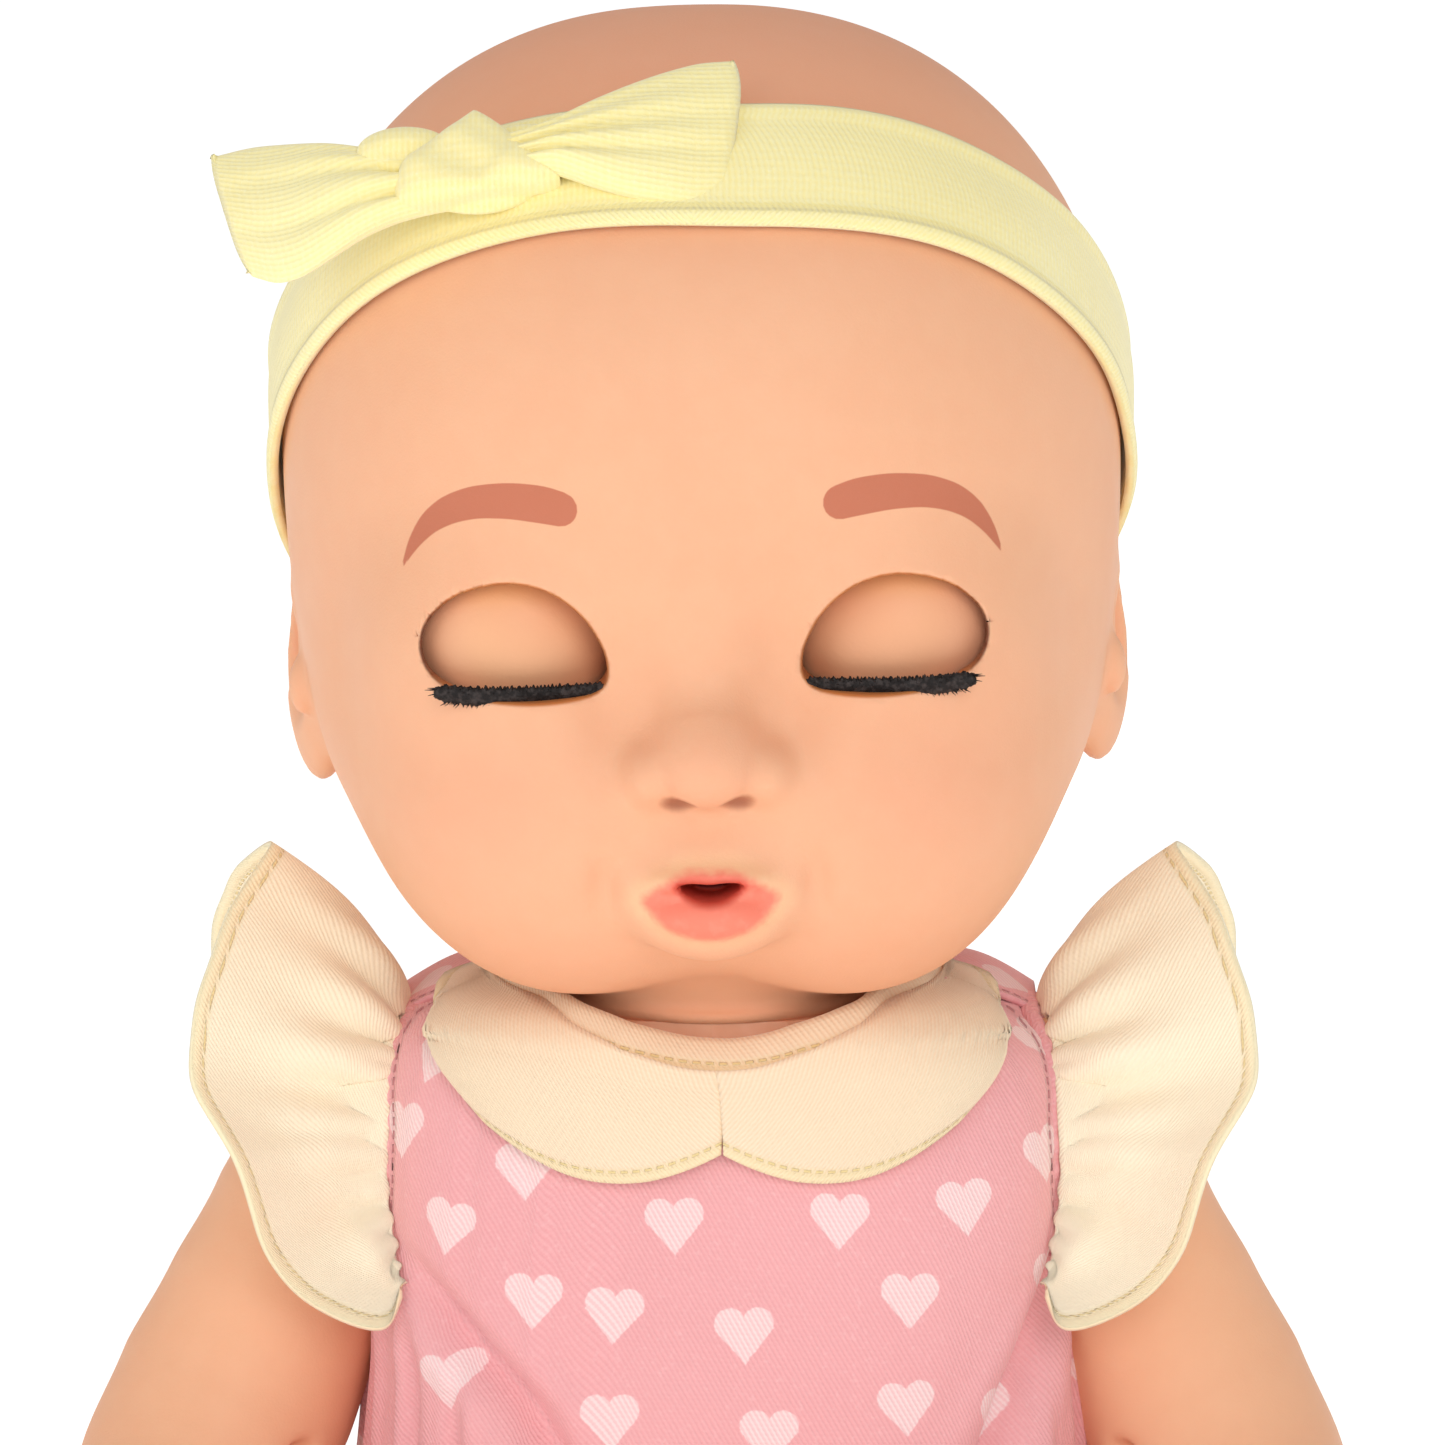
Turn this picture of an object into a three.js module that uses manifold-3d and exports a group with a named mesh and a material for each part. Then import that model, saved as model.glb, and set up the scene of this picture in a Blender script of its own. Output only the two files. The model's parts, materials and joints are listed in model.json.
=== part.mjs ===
// Interactive baby doll, seated: 227 mm high, and 319 mm with its legs straight down.
// A vinyl head with sleep eyes on a motor and an open mouth with a feeding
// switch turns on a hard torso that holds the batteries and the sound module.
// Vinyl arms and legs turn on flanged discs. The doll wears a bubble romper
// with a two-lobed collar and flutter sleeves, and a headband with a bow.
// Millimetres, +Z up. The doll faces -Y and its left side is +X. The origin is
// the middle of the flat seat of the romper, where the doll sits.

import * as THREE from 'three';
import { mergeVertices } from 'three/addons/utils/BufferGeometryUtils.js';
import Module from 'manifold-3d';

const wasm = await Module();
wasm.setup();

// ---------------------------------------------------------------- dimensions

const GAP = 0.3; // clearance between neighbouring pieces
const HALF_GAP = GAP / 2;
const FAR = 300; // larger than the doll, for cutting blocks
const WALL = 2.4; // torso and limb wall
const HEAD_WALL = 3;
const BODY_POWER = 2.4; // squareness of the body's sections
const BODY_SIDES = 20;

// body sections from the seat up: [height, half width, half depth, centre y]
const TORSO = [
  [3.2, 22, 17, 0], [11, 35, 25.5, 0], [26, 38, 28.8, -1], [50, 37.5, 28.8, -1.4],
  [74, 36.6, 26.4, -1], [93, 36.8, 23.3, 0], [100, 32, 23, 0], [104, 24.6, 21.6, 0],
];
const ROMPER = [
  [0, 27, 22, 0], [2, 35, 28, 0], [12, 43, 33, -0.8], [34, 45.5, 35, -1.5],
  [54, 42.8, 32.8, -2], [76, 40.6, 29.2, -1], [93, 40.5, 27.2, 0], [101, 34.6, 26.2, 0],
  [104.2, 28.2, 24.6, 0],
];

// the head is a blend of rounded lobes: [centre, half axes]
const HEAD_LOBES = [
  [[0, 11, 173], [52, 55.5, 54]],
  [[0, 6, 155], [51, 49, 40]],
  [[12, 8, 180], [38, 48, 43.5]],
  [[-12, 8, 180], [38, 48, 43.5]],
  [[0, -3, 140.3], [47.5, 42, 32.6]],
  [[17, -20, 134.5], [24, 25, 26.2]],
  [[-17, -20, 134.5], [24, 25, 26.2]],
];
const HEAD_BLEND = 8;
const HEAD_CENTRE = [0, 3, 158]; // every point of the head is seen from here
const NECK_RADIUS = 21.5;
const NECK_BASE = 104.4;
const NECK_FLANGE = 2.6; // thickness of the head's turned-in neck edge
const NECK_POST_RADIUS = 15;

const EYE = { x: 23.2, y: -23.5, z: 155.2 };
const EYEBALL_RADIUS = 14.2;
const IRIS_RADIUS = 5.2;
const LID_INNER = 15.0;
const LID_RADIUS = 15.5;
const SOCKET_RADIUS = 16.0;
const RIM_RADIUS = 17.3;
const EYE_OPENING = { half: 11.7, up: 8.4, down: 6.6 };
const LID_SPAN = [-24, 96]; // degrees above the horizontal, on the face side
const LASH_SPAN = [-22, -18.5];
const LASH_HALF = 7;
const EYE_TRAVEL = 45; // degrees from asleep to awake
const LASH_RADIUS = 16.6;
const AXLE_RADIUS = 1.5;

const GEAR_MODULE = 1;
const PINION_TEETH = 10;
const SECTOR_TEETH = 30;
const PINION_Y = EYE.y + (GEAR_MODULE * (PINION_TEETH + SECTOR_TEETH)) / 2;

const MOUTH = { z: 126.5, half: 4.4, up: 3.1 };
const SLEEVE_RADIUS = 6.5;

const BAND = { y: -26.5, z: 211.3, tilt: 42, half: 9, inner: 0.35, outer: 1.9 };
const BOW_KNOT = [-26.8, -27, 213.5];

const SHOULDER = { x: 37.2, z: 84 };
const HIP = { x: 27, y: -6, z: 26, tilt: 22 };
const SHOULDER_DISC = 9.6; // flange radius
const HIP_DISC = 12;
const DISC_STEP = 2.8; // from the flange in to the disc's waist

const BATTERY = { radius: 7.1, length: 50, pitch: 15.4, y: 9.2, z: 35.4 };
const BATTERY_BOX = { half: 24.5, front: 0, low: 33.6, high: 87, wall: 1.5 };
const DOOR = { half: 21, low: 38, high: 82 };
const TUMMY_BUTTON = { radius: 7, z: 36, y: -29.5 };
const SPEAKER = { radius: 13, z: 60 };
const POWER_SWITCH_Z = 92.5;

const SKIN = { color: 0xf0b48c, roughness: 0.55, metalness: 0 };
const PINK = { color: 0xe8a9ac, roughness: 0.9, metalness: 0 };
const CREAM = { color: 0xfbeccb, roughness: 0.9, metalness: 0 };
const YELLOW = { color: 0xf8eeb0, roughness: 0.9, metalness: 0 };
const BLACK = { color: 0x2a2320, roughness: 0.7, metalness: 0 };
const WHITE = { color: 0xf4f1ec, roughness: 0.3, metalness: 0 };
const BROWN = { color: 0x5a3a26, roughness: 0.2, metalness: 0 };
const DARK_RED = { color: 0x6e1410, roughness: 0.6, metalness: 0 };
const GREY = { color: 0xb9bcc0, roughness: 0.5, metalness: 0 };
const GREEN = { color: 0x2f6b45, roughness: 0.5, metalness: 0 };
const STEEL = { color: 0x9a9ca0, roughness: 0.35, metalness: 1 };
const FOIL = { color: 0xc9b06a, roughness: 0.35, metalness: 1 };

// -------------------------------------------------------------------- helpers

const radians = THREE.MathUtils.degToRad;
const vector = (p) => new THREE.Vector3(...p);

function signedVolume(positions, index) {
  const [a, b, c] = [new THREE.Vector3(), new THREE.Vector3(), new THREE.Vector3()];
  let total = 0;
  for (let i = 0; i < index.length; i += 3) {
    a.fromArray(positions, 3 * index[i]);
    b.fromArray(positions, 3 * index[i + 1]);
    c.fromArray(positions, 3 * index[i + 2]);
    total += a.dot(b.cross(c));
  }
  return total / 6;
}

// a closed geometry as a solid, with its faces pointing out
function solid(geometry) {
  const bare = geometry.clone();
  bare.deleteAttribute('normal');
  bare.deleteAttribute('uv');
  const merged = mergeVertices(bare, 1e-4);
  const positions = new Float32Array(merged.attributes.position.array);
  const index = [];
  const all = merged.index.array;
  for (let i = 0; i < all.length; i += 3) {
    const [a, b, c] = [all[i], all[i + 1], all[i + 2]];
    if (a !== b && b !== c && c !== a) index.push(a, b, c);
  }
  if (signedVolume(positions, index) < 0) index.reverse();
  const mesh = { numProp: 3, vertProperties: positions, triVerts: new Uint32Array(index) };
  return new wasm.Manifold(new wasm.Mesh(mesh));
}

const joined = (...parts) => parts.reduce((all, part) => all.add(part));
const cut = (whole, ...tools) => tools.reduce((rest, tool) => rest.subtract(tool), whole);
const common = (...parts) => parts.reduce((all, part) => all.intersect(part));

function geometryOf(body) {
  const mesh = body.getMesh();
  const geometry = new THREE.BufferGeometry();
  geometry.setAttribute('position', new THREE.BufferAttribute(mesh.vertProperties, 3));
  geometry.setIndex(new THREE.BufferAttribute(mesh.triVerts, 1));
  geometry.computeVertexNormals();
  return geometry;
}

function box(low, high) {
  const size = high.map((v, i) => v - low[i]);
  const geometry = new THREE.BoxGeometry(...size);
  geometry.translate(...high.map((v, i) => (v + low[i]) / 2));
  return solid(geometry);
}

function ball(centre, radii, wide = 20, high = 14) {
  const geometry = new THREE.SphereGeometry(1, wide, high);
  geometry.scale(...(Array.isArray(radii) ? radii : [radii, radii, radii]));
  geometry.translate(...centre);
  return solid(geometry);
}

// places geometry made about the Z axis so that Z points along direction from point
function placed(geometry, point, direction) {
  const turn = new THREE.Quaternion();
  turn.setFromUnitVectors(new THREE.Vector3(0, 0, 1), vector(direction).normalize());
  geometry.applyQuaternion(turn);
  geometry.translate(...point);
  return geometry;
}

function rod(from, to, radius, sides = 16) {
  const axis = vector(to).sub(vector(from));
  const geometry = new THREE.CylinderGeometry(radius, radius, axis.length(), sides);
  geometry.rotateX(Math.PI / 2);
  geometry.translate(0, 0, axis.length() / 2);
  return solid(placed(geometry, from, axis.toArray()));
}

// a profile of [radius, height] points turned about an axis
function turned(profile, point, direction, sides = 20) {
  const geometry = new THREE.LatheGeometry(profile.map((p) => new THREE.Vector2(...p)), sides);
  geometry.rotateX(Math.PI / 2);
  return solid(placed(geometry, point, direction));
}

// skins a row of rings of points; ends are closed unless the row runs back into itself
function loft(rings, closed = false) {
  const sides = rings[0].length;
  const positions = rings.flatMap((ring) => ring.flatMap((p) => p.toArray()));
  const index = [];
  const last = closed ? rings.length : rings.length - 1;
  for (let i = 0; i < last; i += 1) {
    const here = i * sides;
    const next = ((i + 1) % rings.length) * sides;
    for (let j = 0; j < sides; j += 1) {
      const k = (j + 1) % sides;
      index.push(here + j, here + k, next + k, here + j, next + k, next + j);
    }
  }
  if (!closed) {
    for (const [first, flip] of [[0, true], [(rings.length - 1) * sides, false]]) {
      for (let j = 1; j < sides - 1; j += 1) {
        const fan = [first, first + j, first + j + 1];
        index.push(...(flip ? fan.reverse() : fan));
      }
    }
  }
  const geometry = new THREE.BufferGeometry();
  geometry.setAttribute('position', new THREE.Float32BufferAttribute(positions, 3));
  geometry.setIndex(index);
  return solid(geometry);
}

// a round limb through stations of [x, y, z, radius], its rings square to its path
function limb(stations, grow = 0, sides = 12) {
  const across = new THREE.Vector3(1, 0, 0);
  const rings = stations.map(([x, y, z, radius], i) => {
    const before = vector(stations[Math.max(i - 1, 0)].slice(0, 3));
    const after = vector(stations[Math.min(i + 1, stations.length - 1)].slice(0, 3));
    const along = after.sub(before).normalize();
    const u = across.clone().addScaledVector(along, -across.dot(along)).normalize();
    const v = new THREE.Vector3().crossVectors(along, u);
    return Array.from({ length: sides }, (_, k) => {
      const angle = (2 * Math.PI * k) / sides;
      return new THREE.Vector3(x, y, z)
        .addScaledVector(u, (radius + grow) * Math.cos(angle))
        .addScaledVector(v, (radius + grow) * Math.sin(angle));
    });
  });
  return loft(rings);
}

// a body of rounded-square sections, grown outwards by a distance
function trunk(stations, grow = 0, endGrow = 0) {
  const squared = (v) => Math.sign(v) * Math.abs(v) ** (2 / BODY_POWER);
  const rings = stations.map(([z, a, b, y], i) => {
    const end = i === 0 ? -endGrow : i === stations.length - 1 ? endGrow : 0;
    return Array.from({ length: BODY_SIDES }, (_, k) => {
      const angle = (2 * Math.PI * k) / BODY_SIDES;
      const px = (a + grow) * squared(Math.cos(angle));
      const py = y + (b + grow) * squared(Math.sin(angle));
      return new THREE.Vector3(px, py, z + end);
    });
  });
  return loft(rings);
}

// a block that fills the far side of a plane, `distance` along its normal from the point
function beyond(point, normal, distance) {
  const geometry = new THREE.BoxGeometry(FAR, FAR, FAR);
  geometry.translate(0, 0, FAR / 2 + distance);
  return solid(placed(geometry, point, normal));
}

// an outline in X and Z pushed along Y from front to back
function pressed(outline, front, back) {
  const shape = new THREE.Shape(outline.map((p) => new THREE.Vector2(...p)));
  const geometry = new THREE.ExtrudeGeometry(shape, { depth: back - front, bevelEnabled: false });
  geometry.rotateX(Math.PI / 2);
  geometry.translate(0, back, 0);
  return solid(geometry);
}

// a spring wound along +Y, drawn at the length it has when fully pressed
function spring(x, z, front, back, radius, wire, turns) {
  class Coil extends THREE.Curve {
    getPoint(t, target = new THREE.Vector3()) {
      const angle = 2 * Math.PI * turns * t;
      const y = front + (back - front) * t;
      return target.set(x + radius * Math.cos(angle), y, z + radius * Math.sin(angle));
    }
  }
  const section = new THREE.Shape();
  section.absarc(0, 0, wire, 0, 2 * Math.PI, false);
  const options = { steps: turns * 8, curveSegments: 2, bevelEnabled: false, extrudePath: new Coil() };
  return solid(new THREE.ExtrudeGeometry(section, options));
}

const doll = new THREE.Group();

function add(name, body, look) {
  const mesh = new THREE.Mesh(geometryOf(body), new THREE.MeshStandardMaterial(look));
  mesh.name = name;
  doll.add(mesh);
}

const SIDES = [['left', 1], ['right', -1]];

// ----------------------------------------------------------------------- head

function ellipsoidDistance([x, y, z], [centre, half]) {
  const p = [x - centre[0], y - centre[1], z - centre[2]];
  const near = Math.hypot(...p.map((v, i) => v / half[i]));
  const slope = Math.hypot(...p.map((v, i) => v / half[i] ** 2));
  return (near * (near - 1)) / slope;
}

function headDistance(point) {
  return HEAD_LOBES.map((lobe) => ellipsoidDistance(point, lobe)).reduce((a, b) => {
    const share = Math.max(HEAD_BLEND - Math.abs(a - b), 0) / HEAD_BLEND;
    return Math.min(a, b) - (share * share * HEAD_BLEND) / 4;
  });
}

// the head's skin moved out by a distance, found along rays from the head's centre
function headSolid(grow, wide, high) {
  const geometry = new THREE.SphereGeometry(1, wide, high);
  geometry.rotateX(Math.PI / 2);
  const places = geometry.attributes.position;
  for (let i = 0; i < places.count; i += 1) {
    const ray = new THREE.Vector3().fromBufferAttribute(places, i).normalize();
    let [near, far] = [5, 100];
    for (let step = 0; step < 30; step += 1) {
      const middle = (near + far) / 2;
      const at = vector(HEAD_CENTRE).addScaledVector(ray, middle);
      if (headDistance(at.toArray()) < grow) near = middle;
      else far = middle;
    }
    const found = vector(HEAD_CENTRE).addScaledVector(ray, near);
    places.setXYZ(i, found.x, found.y, found.z);
  }
  return solid(geometry);
}

// the almond of the open eyelids, flat below and domed above
function eyeOutline(side) {
  const count = 16;
  return Array.from({ length: count }, (_, k) => {
    const angle = (2 * Math.PI * k) / count;
    const power = Math.sin(angle) < 0 ? 3.2 : 2.1;
    const reach = Math.sin(angle) < 0 ? EYE_OPENING.down : EYE_OPENING.up;
    const squared = (v) => Math.sign(v) * Math.abs(v) ** (2 / power);
    const x = side * EYE.x + EYE_OPENING.half * squared(Math.cos(angle));
    return [x, EYE.z + reach * squared(Math.sin(angle))];
  });
}

function mouthOutline() {
  const count = 12;
  return Array.from({ length: count }, (_, k) => {
    const angle = (2 * Math.PI * k) / count;
    return [MOUTH.half * Math.cos(angle), MOUTH.z + MOUTH.up * Math.sin(angle)];
  });
}

function buildHeadShell() {
  let skin = headSolid(0, 26, 16);
  skin = joined(skin, rod([0, 0, NECK_BASE], [0, 0, 128], NECK_RADIUS, 20));
  for (const [, side] of SIDES) {
    skin = joined(skin, ball([side * EYE.x, EYE.y, EYE.z], RIM_RADIUS, 16, 10));
    skin = joined(skin, ball([side * 49.3, 7, 144.5], [4.2, 7.5, 15.5], 10, 6));
    skin = joined(skin, ball([side * 5.2, -43.5, 141.5], [4.6, 5.2, 4.2], 10, 6));
  }
  const nose = ball([0, -44.5, 143.5], [7, 8, 6.5], 12, 8);
  const lips = ball([0, -42.5, MOUTH.z], [9.5, 8, 7], 14, 8);
  skin = joined(skin, nose, lips);
  const hollow = joined(
    headSolid(-HEAD_WALL, 16, 10),
    rod([0, 0, NECK_BASE + NECK_FLANGE], [0, 0, 128], NECK_RADIUS - HEAD_WALL, 14),
  );
  const neckHole = rod([0, 0, 95], [0, 0, 110], NECK_POST_RADIUS + 0.4, 16);
  const mouthHole = pressed(mouthOutline(), -60, -38);
  const sleevePocket = rod([0, -41.5, MOUTH.z], [0, -20, MOUTH.z], SLEEVE_RADIUS + GAP, 14);
  let shell = cut(skin, hollow, neckHole, mouthHole, sleevePocket);
  for (const [, side] of SIDES) {
    const socket = ball([side * EYE.x, EYE.y, EYE.z], SOCKET_RADIUS, 16, 10);
    shell = cut(shell, socket, pressed(eyeOutline(side), -60, EYE.y));
  }
  return shell.decompose().sort((a, b) => b.volume() - a.volume())[0];
}

// flat tooth flanks that stay clear of each other as the pair turns
function gear(teeth, from, to, firstAngle, centre, x) {
  const pitch = (teeth * GEAR_MODULE) / 2;
  const step = (2 * Math.PI) / teeth;
  const root = pitch - 1.2 * GEAR_MODULE;
  const tip = pitch + 0.75 * GEAR_MODULE;
  const points = [];
  for (let k = from; k < to; k += 1) {
    const angle = firstAngle + k * step;
    for (const [share, radius] of [[-0.29, root], [-0.1, tip], [0.1, tip], [0.29, root]]) {
      const at = angle + share * step;
      points.push([centre[0] + radius * Math.cos(at), centre[1] + radius * Math.sin(at)]);
    }
  }
  if (to - from < teeth) points.push(centre);
  const shape = new THREE.Shape(points.map((p) => new THREE.Vector2(...p)));
  const geometry = new THREE.ExtrudeGeometry(shape, { depth: x[1] - x[0], bevelEnabled: false });
  // the outline's axes become Y and Z, and its thickness runs along X
  geometry.applyMatrix4(new THREE.Matrix4().set(0, 0, 1, x[0], 1, 0, 0, 0, 0, 1, 0, 0, 0, 0, 0, 1));
  return solid(geometry);
}

function buildEyes() {
  const wedge = (angle, above) => {
    const turn = radians(angle);
    const normal = [0, Math.sin(turn) * (above ? 1 : -1), Math.cos(turn) * (above ? 1 : -1)];
    return beyond([0, EYE.y, EYE.z], normal, 0);
  };
  const axle = (radius) => rod([-36, EYE.y, EYE.z], [36, EYE.y, EYE.z], radius, 16);
  for (const [name, side] of SIDES) {
    const centre = [side * EYE.x, EYE.y, EYE.z];
    const eyeball = cut(ball(centre, EYEBALL_RADIUS, 14, 10), axle(AXLE_RADIUS + GAP));
    add(`${name}_eyeball`, eyeball, WHITE);

    const down = radians(-EYE_TRAVEL);
    const gaze = [0, -Math.cos(down), Math.sin(down)];
    const reach = centre.map((v, i) => v + 20 * gaze[i]);
    const iris = cut(
      common(ball(centre, 14.85, 20, 14), rod(centre, reach, IRIS_RADIUS, 16)),
      ball(centre, EYEBALL_RADIUS + GAP, 20, 14),
    );
    add(`${name}_iris`, iris, BROWN);

    const shellOfLid = cut(ball(centre, LID_RADIUS, 16, 12), ball(centre, LID_INNER, 16, 12));
    const slab = box([centre[0] - 13.2, -60, 130], [centre[0] + 13.2, 20, 190]);
    const lid = common(shellOfLid, slab, wedge(LID_SPAN[0], true), wedge(LID_SPAN[1], false));
    add(`${name}_eyelid`, lid, SKIN);

    const fringe = cut(ball(centre, LASH_RADIUS, 16, 12), ball(centre, LID_RADIUS + GAP, 16, 12));
    const strip = box([centre[0] - LASH_HALF, -60, 130], [centre[0] + LASH_HALF, EYE.y, EYE.z]);
    const lashes = common(fringe, strip, wedge(LASH_SPAN[0], true), wedge(LASH_SPAN[1], false));
    add(`${name}_lashes`, lashes, BLACK);
  }
  add('eye_axle', axle(AXLE_RADIUS), STEEL);

  const middle = [EYE.y, EYE.z];
  const hub = rod([-2.5, EYE.y, EYE.z], [2.5, EYE.y, EYE.z], 4, 20);
  const sector = gear(SECTOR_TEETH, -1, 6, 0, middle, [-1.5, 1.5]);
  add('eye_sector_gear', cut(joined(sector, hub), axle(AXLE_RADIUS + GAP)), WHITE);

  // a space of the pinion faces the tooth of the sector that points straight back
  const halfTooth = Math.PI / PINION_TEETH;
  const pinion = gear(PINION_TEETH, 0, PINION_TEETH, Math.PI + halfTooth, [PINION_Y, EYE.z], [-2, 2]);
  const shaft = rod([-5.8, PINION_Y, EYE.z], [5.7, PINION_Y, EYE.z], 1, 12);
  add('eye_pinion', joined(pinion, shaft), WHITE);
  add('eye_motor', rod([6, PINION_Y, EYE.z], [19.5, PINION_Y, EYE.z], 4.2, 20), STEEL);

  let bracket = box([-18, 6, 146], [18, 8.4, 168]);
  for (const [, side] of SIDES) {
    const x = [side * 3.4, side * 5.4].sort((a, b) => a - b);
    bracket = joined(bracket, box([x[0], -27, 150], [x[1], 6.5, 163]));
  }
  const shaftHole = rod([-8, PINION_Y, EYE.z], [8, PINION_Y, EYE.z], 1.35, 12);
  add('eye_bracket', cut(bracket, axle(AXLE_RADIUS + 0.25), shaftHole), GREY);
}

function buildMouth() {
  const at = (y) => [0, y, MOUTH.z];
  const sleeve = cut(
    rod(at(-41.2), at(-25), SLEEVE_RADIUS, 24),
    rod(at(-50), at(-27), 4.8, 24),
    rod(at(-30), at(-20), 2.3, 16),
  );
  add('mouth_sleeve', sleeve, DARK_RED);
  const plunger = [[0, -3], [2.2, -2.6], [3.9, -1], [4.4, 0.6], [4.4, 4], [1.9, 4], [1.9, 15], [0, 15]];
  add('mouth_plunger', turned(plunger, at(-37.5), [0, 1, 0], 20), DARK_RED);
  add('mouth_spring', spring(0, MOUTH.z, -31, -27.6, 3.1, 0.35, 3), STEEL);
  add('mouth_switch', box([-5, -19.8, MOUTH.z - 4], [5, -13, MOUTH.z + 4]), GREY);
}

function buildHeadband() {
  const normal = [0, Math.sin(radians(BAND.tilt)), Math.cos(radians(BAND.tilt))];
  const middle = [0, BAND.y, BAND.z];
  const outside = normal.map((v) => -v);
  const strap = cut(headSolid(BAND.outer, 26, 16), headSolid(BAND.inner, 26, 16));
  const band = cut(strap, beyond(middle, normal, BAND.half), beyond(middle, outside, BAND.half));
  add('headband', band, YELLOW);

  // each bow end is a row of flat oval rings: [centre, half height, half thickness]
  const bowEnd = (rings) => loft(rings.map(([centre, half, thick]) => {
    const [up, out] = [vector([0, 0.62, 0.78]), vector([0, -0.78, 0.62])];
    return Array.from({ length: 10 }, (_, k) => {
      const angle = (2 * Math.PI * k) / 10;
      return vector(centre)
        .addScaledVector(up, half * Math.cos(angle))
        .addScaledVector(out, thick * Math.sin(angle));
    });
  }));
  const knot = ball(BOW_KNOT, [8.6, 4, 8.2], 12, 8);
  const clear = headSolid(BAND.outer + GAP, 26, 16);
  const knotSpace = ball(BOW_KNOT, [8.9, 4.3, 8.5], 12, 8);
  const outer = bowEnd([
    [[-30, -26.5, 212.5], 3.5, 2], [[-38, -26, 210.5], 5, 2.6], [[-48, -23.5, 209], 7.5, 2.6],
    [[-58, -20.5, 207.5], 9.5, 1.6],
  ]);
  const inner = bowEnd([
    [[-23, -28, 214], 3.5, 2], [[-15, -28.4, 215], 5, 2.6], [[-6, -27, 216], 7.5, 2.6],
    [[5, -25.5, 217], 9.5, 1.6],
  ]);
  add('bow_knot', cut(knot, clear), YELLOW);
  add('bow_outer_end', cut(outer, knotSpace, clear), YELLOW);
  add('bow_inner_end', cut(inner, knotSpace, clear), YELLOW);
}

// ---------------------------------------------------------------------- torso

const hipNormal = (side) => {
  const tilt = radians(HIP.tilt);
  return [side * Math.cos(tilt), 0, -Math.sin(tilt)];
};
const hipPoint = (side) => [side * HIP.x, HIP.y, HIP.z];
const shoulderPoint = (side) => [side * SHOULDER.x, 0, SHOULDER.z];

// where each screw is, and how far back its head's seat reaches: [x, z, y]
const SCREW_PLACES = [[27, 94, 17.2], [-27, 94, 17.2], [12, 12, 24], [-12, 12, 24]];

const discHole = (flange) => flange - DISC_STEP + 0.4;

function cutAtJoints(body, inset) {
  let rest = body;
  for (const [, side] of SIDES) {
    rest = cut(rest, beyond(hipPoint(side), hipNormal(side), -inset));
    rest = cut(rest, beyond(shoulderPoint(side), [side, 0, 0], -inset));
  }
  return rest;
}

function buildTorso() {
  const cup = (radius) => rod([-40, 0, SHOULDER.z], [40, 0, SHOULDER.z], radius, 16);
  const hollow = joined(trunk(TORSO, -WALL, -WALL), cup(SHOULDER_DISC + GAP));
  const inside = cutAtJoints(hollow, HALF_GAP + WALL);
  const outside = cutAtJoints(joined(trunk(TORSO), cup(SHOULDER_DISC + 1.6)), HALF_GAP);
  let shell = cut(outside, inside);
  for (const [x, z] of SCREW_PLACES) {
    shell = joined(shell, common(rod([x, -30, z], [x, 30, z], 3.2, 8), outside));
  }
  for (const [x, z, head] of SCREW_PLACES) {
    const seat = rod([x, head - 3.4, z], [x, 40, z], 2.95, 8);
    shell = cut(shell, rod([x, -8, z], [x, 40, z], 1.7, 8), seat);
  }
  shell = cut(shell, rod([0, 0, 98], [0, 0, 110], NECK_POST_RADIUS + GAP, 16));
  for (const [, side] of SIDES) {
    const hip = vector(hipPoint(side));
    const along = vector(hipNormal(side));
    const inner = hip.clone().addScaledVector(along, -8).toArray();
    const outer = hip.clone().addScaledVector(along, 8).toArray();
    const [near, far] = [28, 45].map((x) => [x * side, 0, SHOULDER.z]);
    const armHole = rod(near, far, discHole(SHOULDER_DISC), 14);
    shell = cut(shell, armHole, rod(inner, outer, discHole(HIP_DISC), 14));
  }

  let front = cut(shell, beyond([0, 0, 0], [0, 1, 0], -HALF_GAP));
  const [nearEnd, farEnd] = [-40, -20].map((y) => [0, y, TUMMY_BUTTON.z]);
  front = cut(front, rod(nearEnd, farEnd, TUMMY_BUTTON.radius + GAP, 24));
  for (const [x, z] of [[0, 0], [6, 0], [-6, 0], [0, 6], [0, -6]]) {
    front = cut(front, rod([x, -40, SPEAKER.z + z], [x, -20, SPEAKER.z + z], 1.2, 6));
  }
  add('torso_front', front, SKIN);

  const back = cut(shell, beyond([0, 0, 0], [0, -1, 0], -HALF_GAP));
  const opening = box([-DOOR.half - GAP, 5, DOOR.low - GAP], [DOOR.half + GAP, 60, DOOR.high + GAP]);
  const slot = box([-4.6, 10, POWER_SWITCH_Z - 1.8], [4.6, 40, POWER_SWITCH_Z + 1.8]);
  add('torso_back', cut(back, opening, slot), SKIN);

  const panel = common(back, box([-DOOR.half, 5, DOOR.low], [DOOR.half, 60, DOOR.high]));
  const screwAt = (y) => [0, y, DOOR.high - 4];
  const seat = rod(screwAt(23.2), screwAt(40), 3, 10);
  add('battery_door', cut(panel, rod(screwAt(0), screwAt(40), 1.7, 8), seat), SKIN);
  const shaft = rod(screwAt(17.5), screwAt(23.8), 1.3, 8);
  add('battery_door_screw', joined(shaft, rod(screwAt(23.6), screwAt(24.8), 2.5, 10)), STEEL);

  SCREW_PLACES.forEach(([x, z, head], i) => {
    const screw = joined(
      rod([x, -7, z], [x, head - 3, z], 1.3, 8),
      rod([x, head - 3.1, z], [x, head - 1.2, z], 2.5, 8),
    );
    add(`shell_screw_${i + 1}`, screw, STEEL);
  });
  return inside;
}

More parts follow.
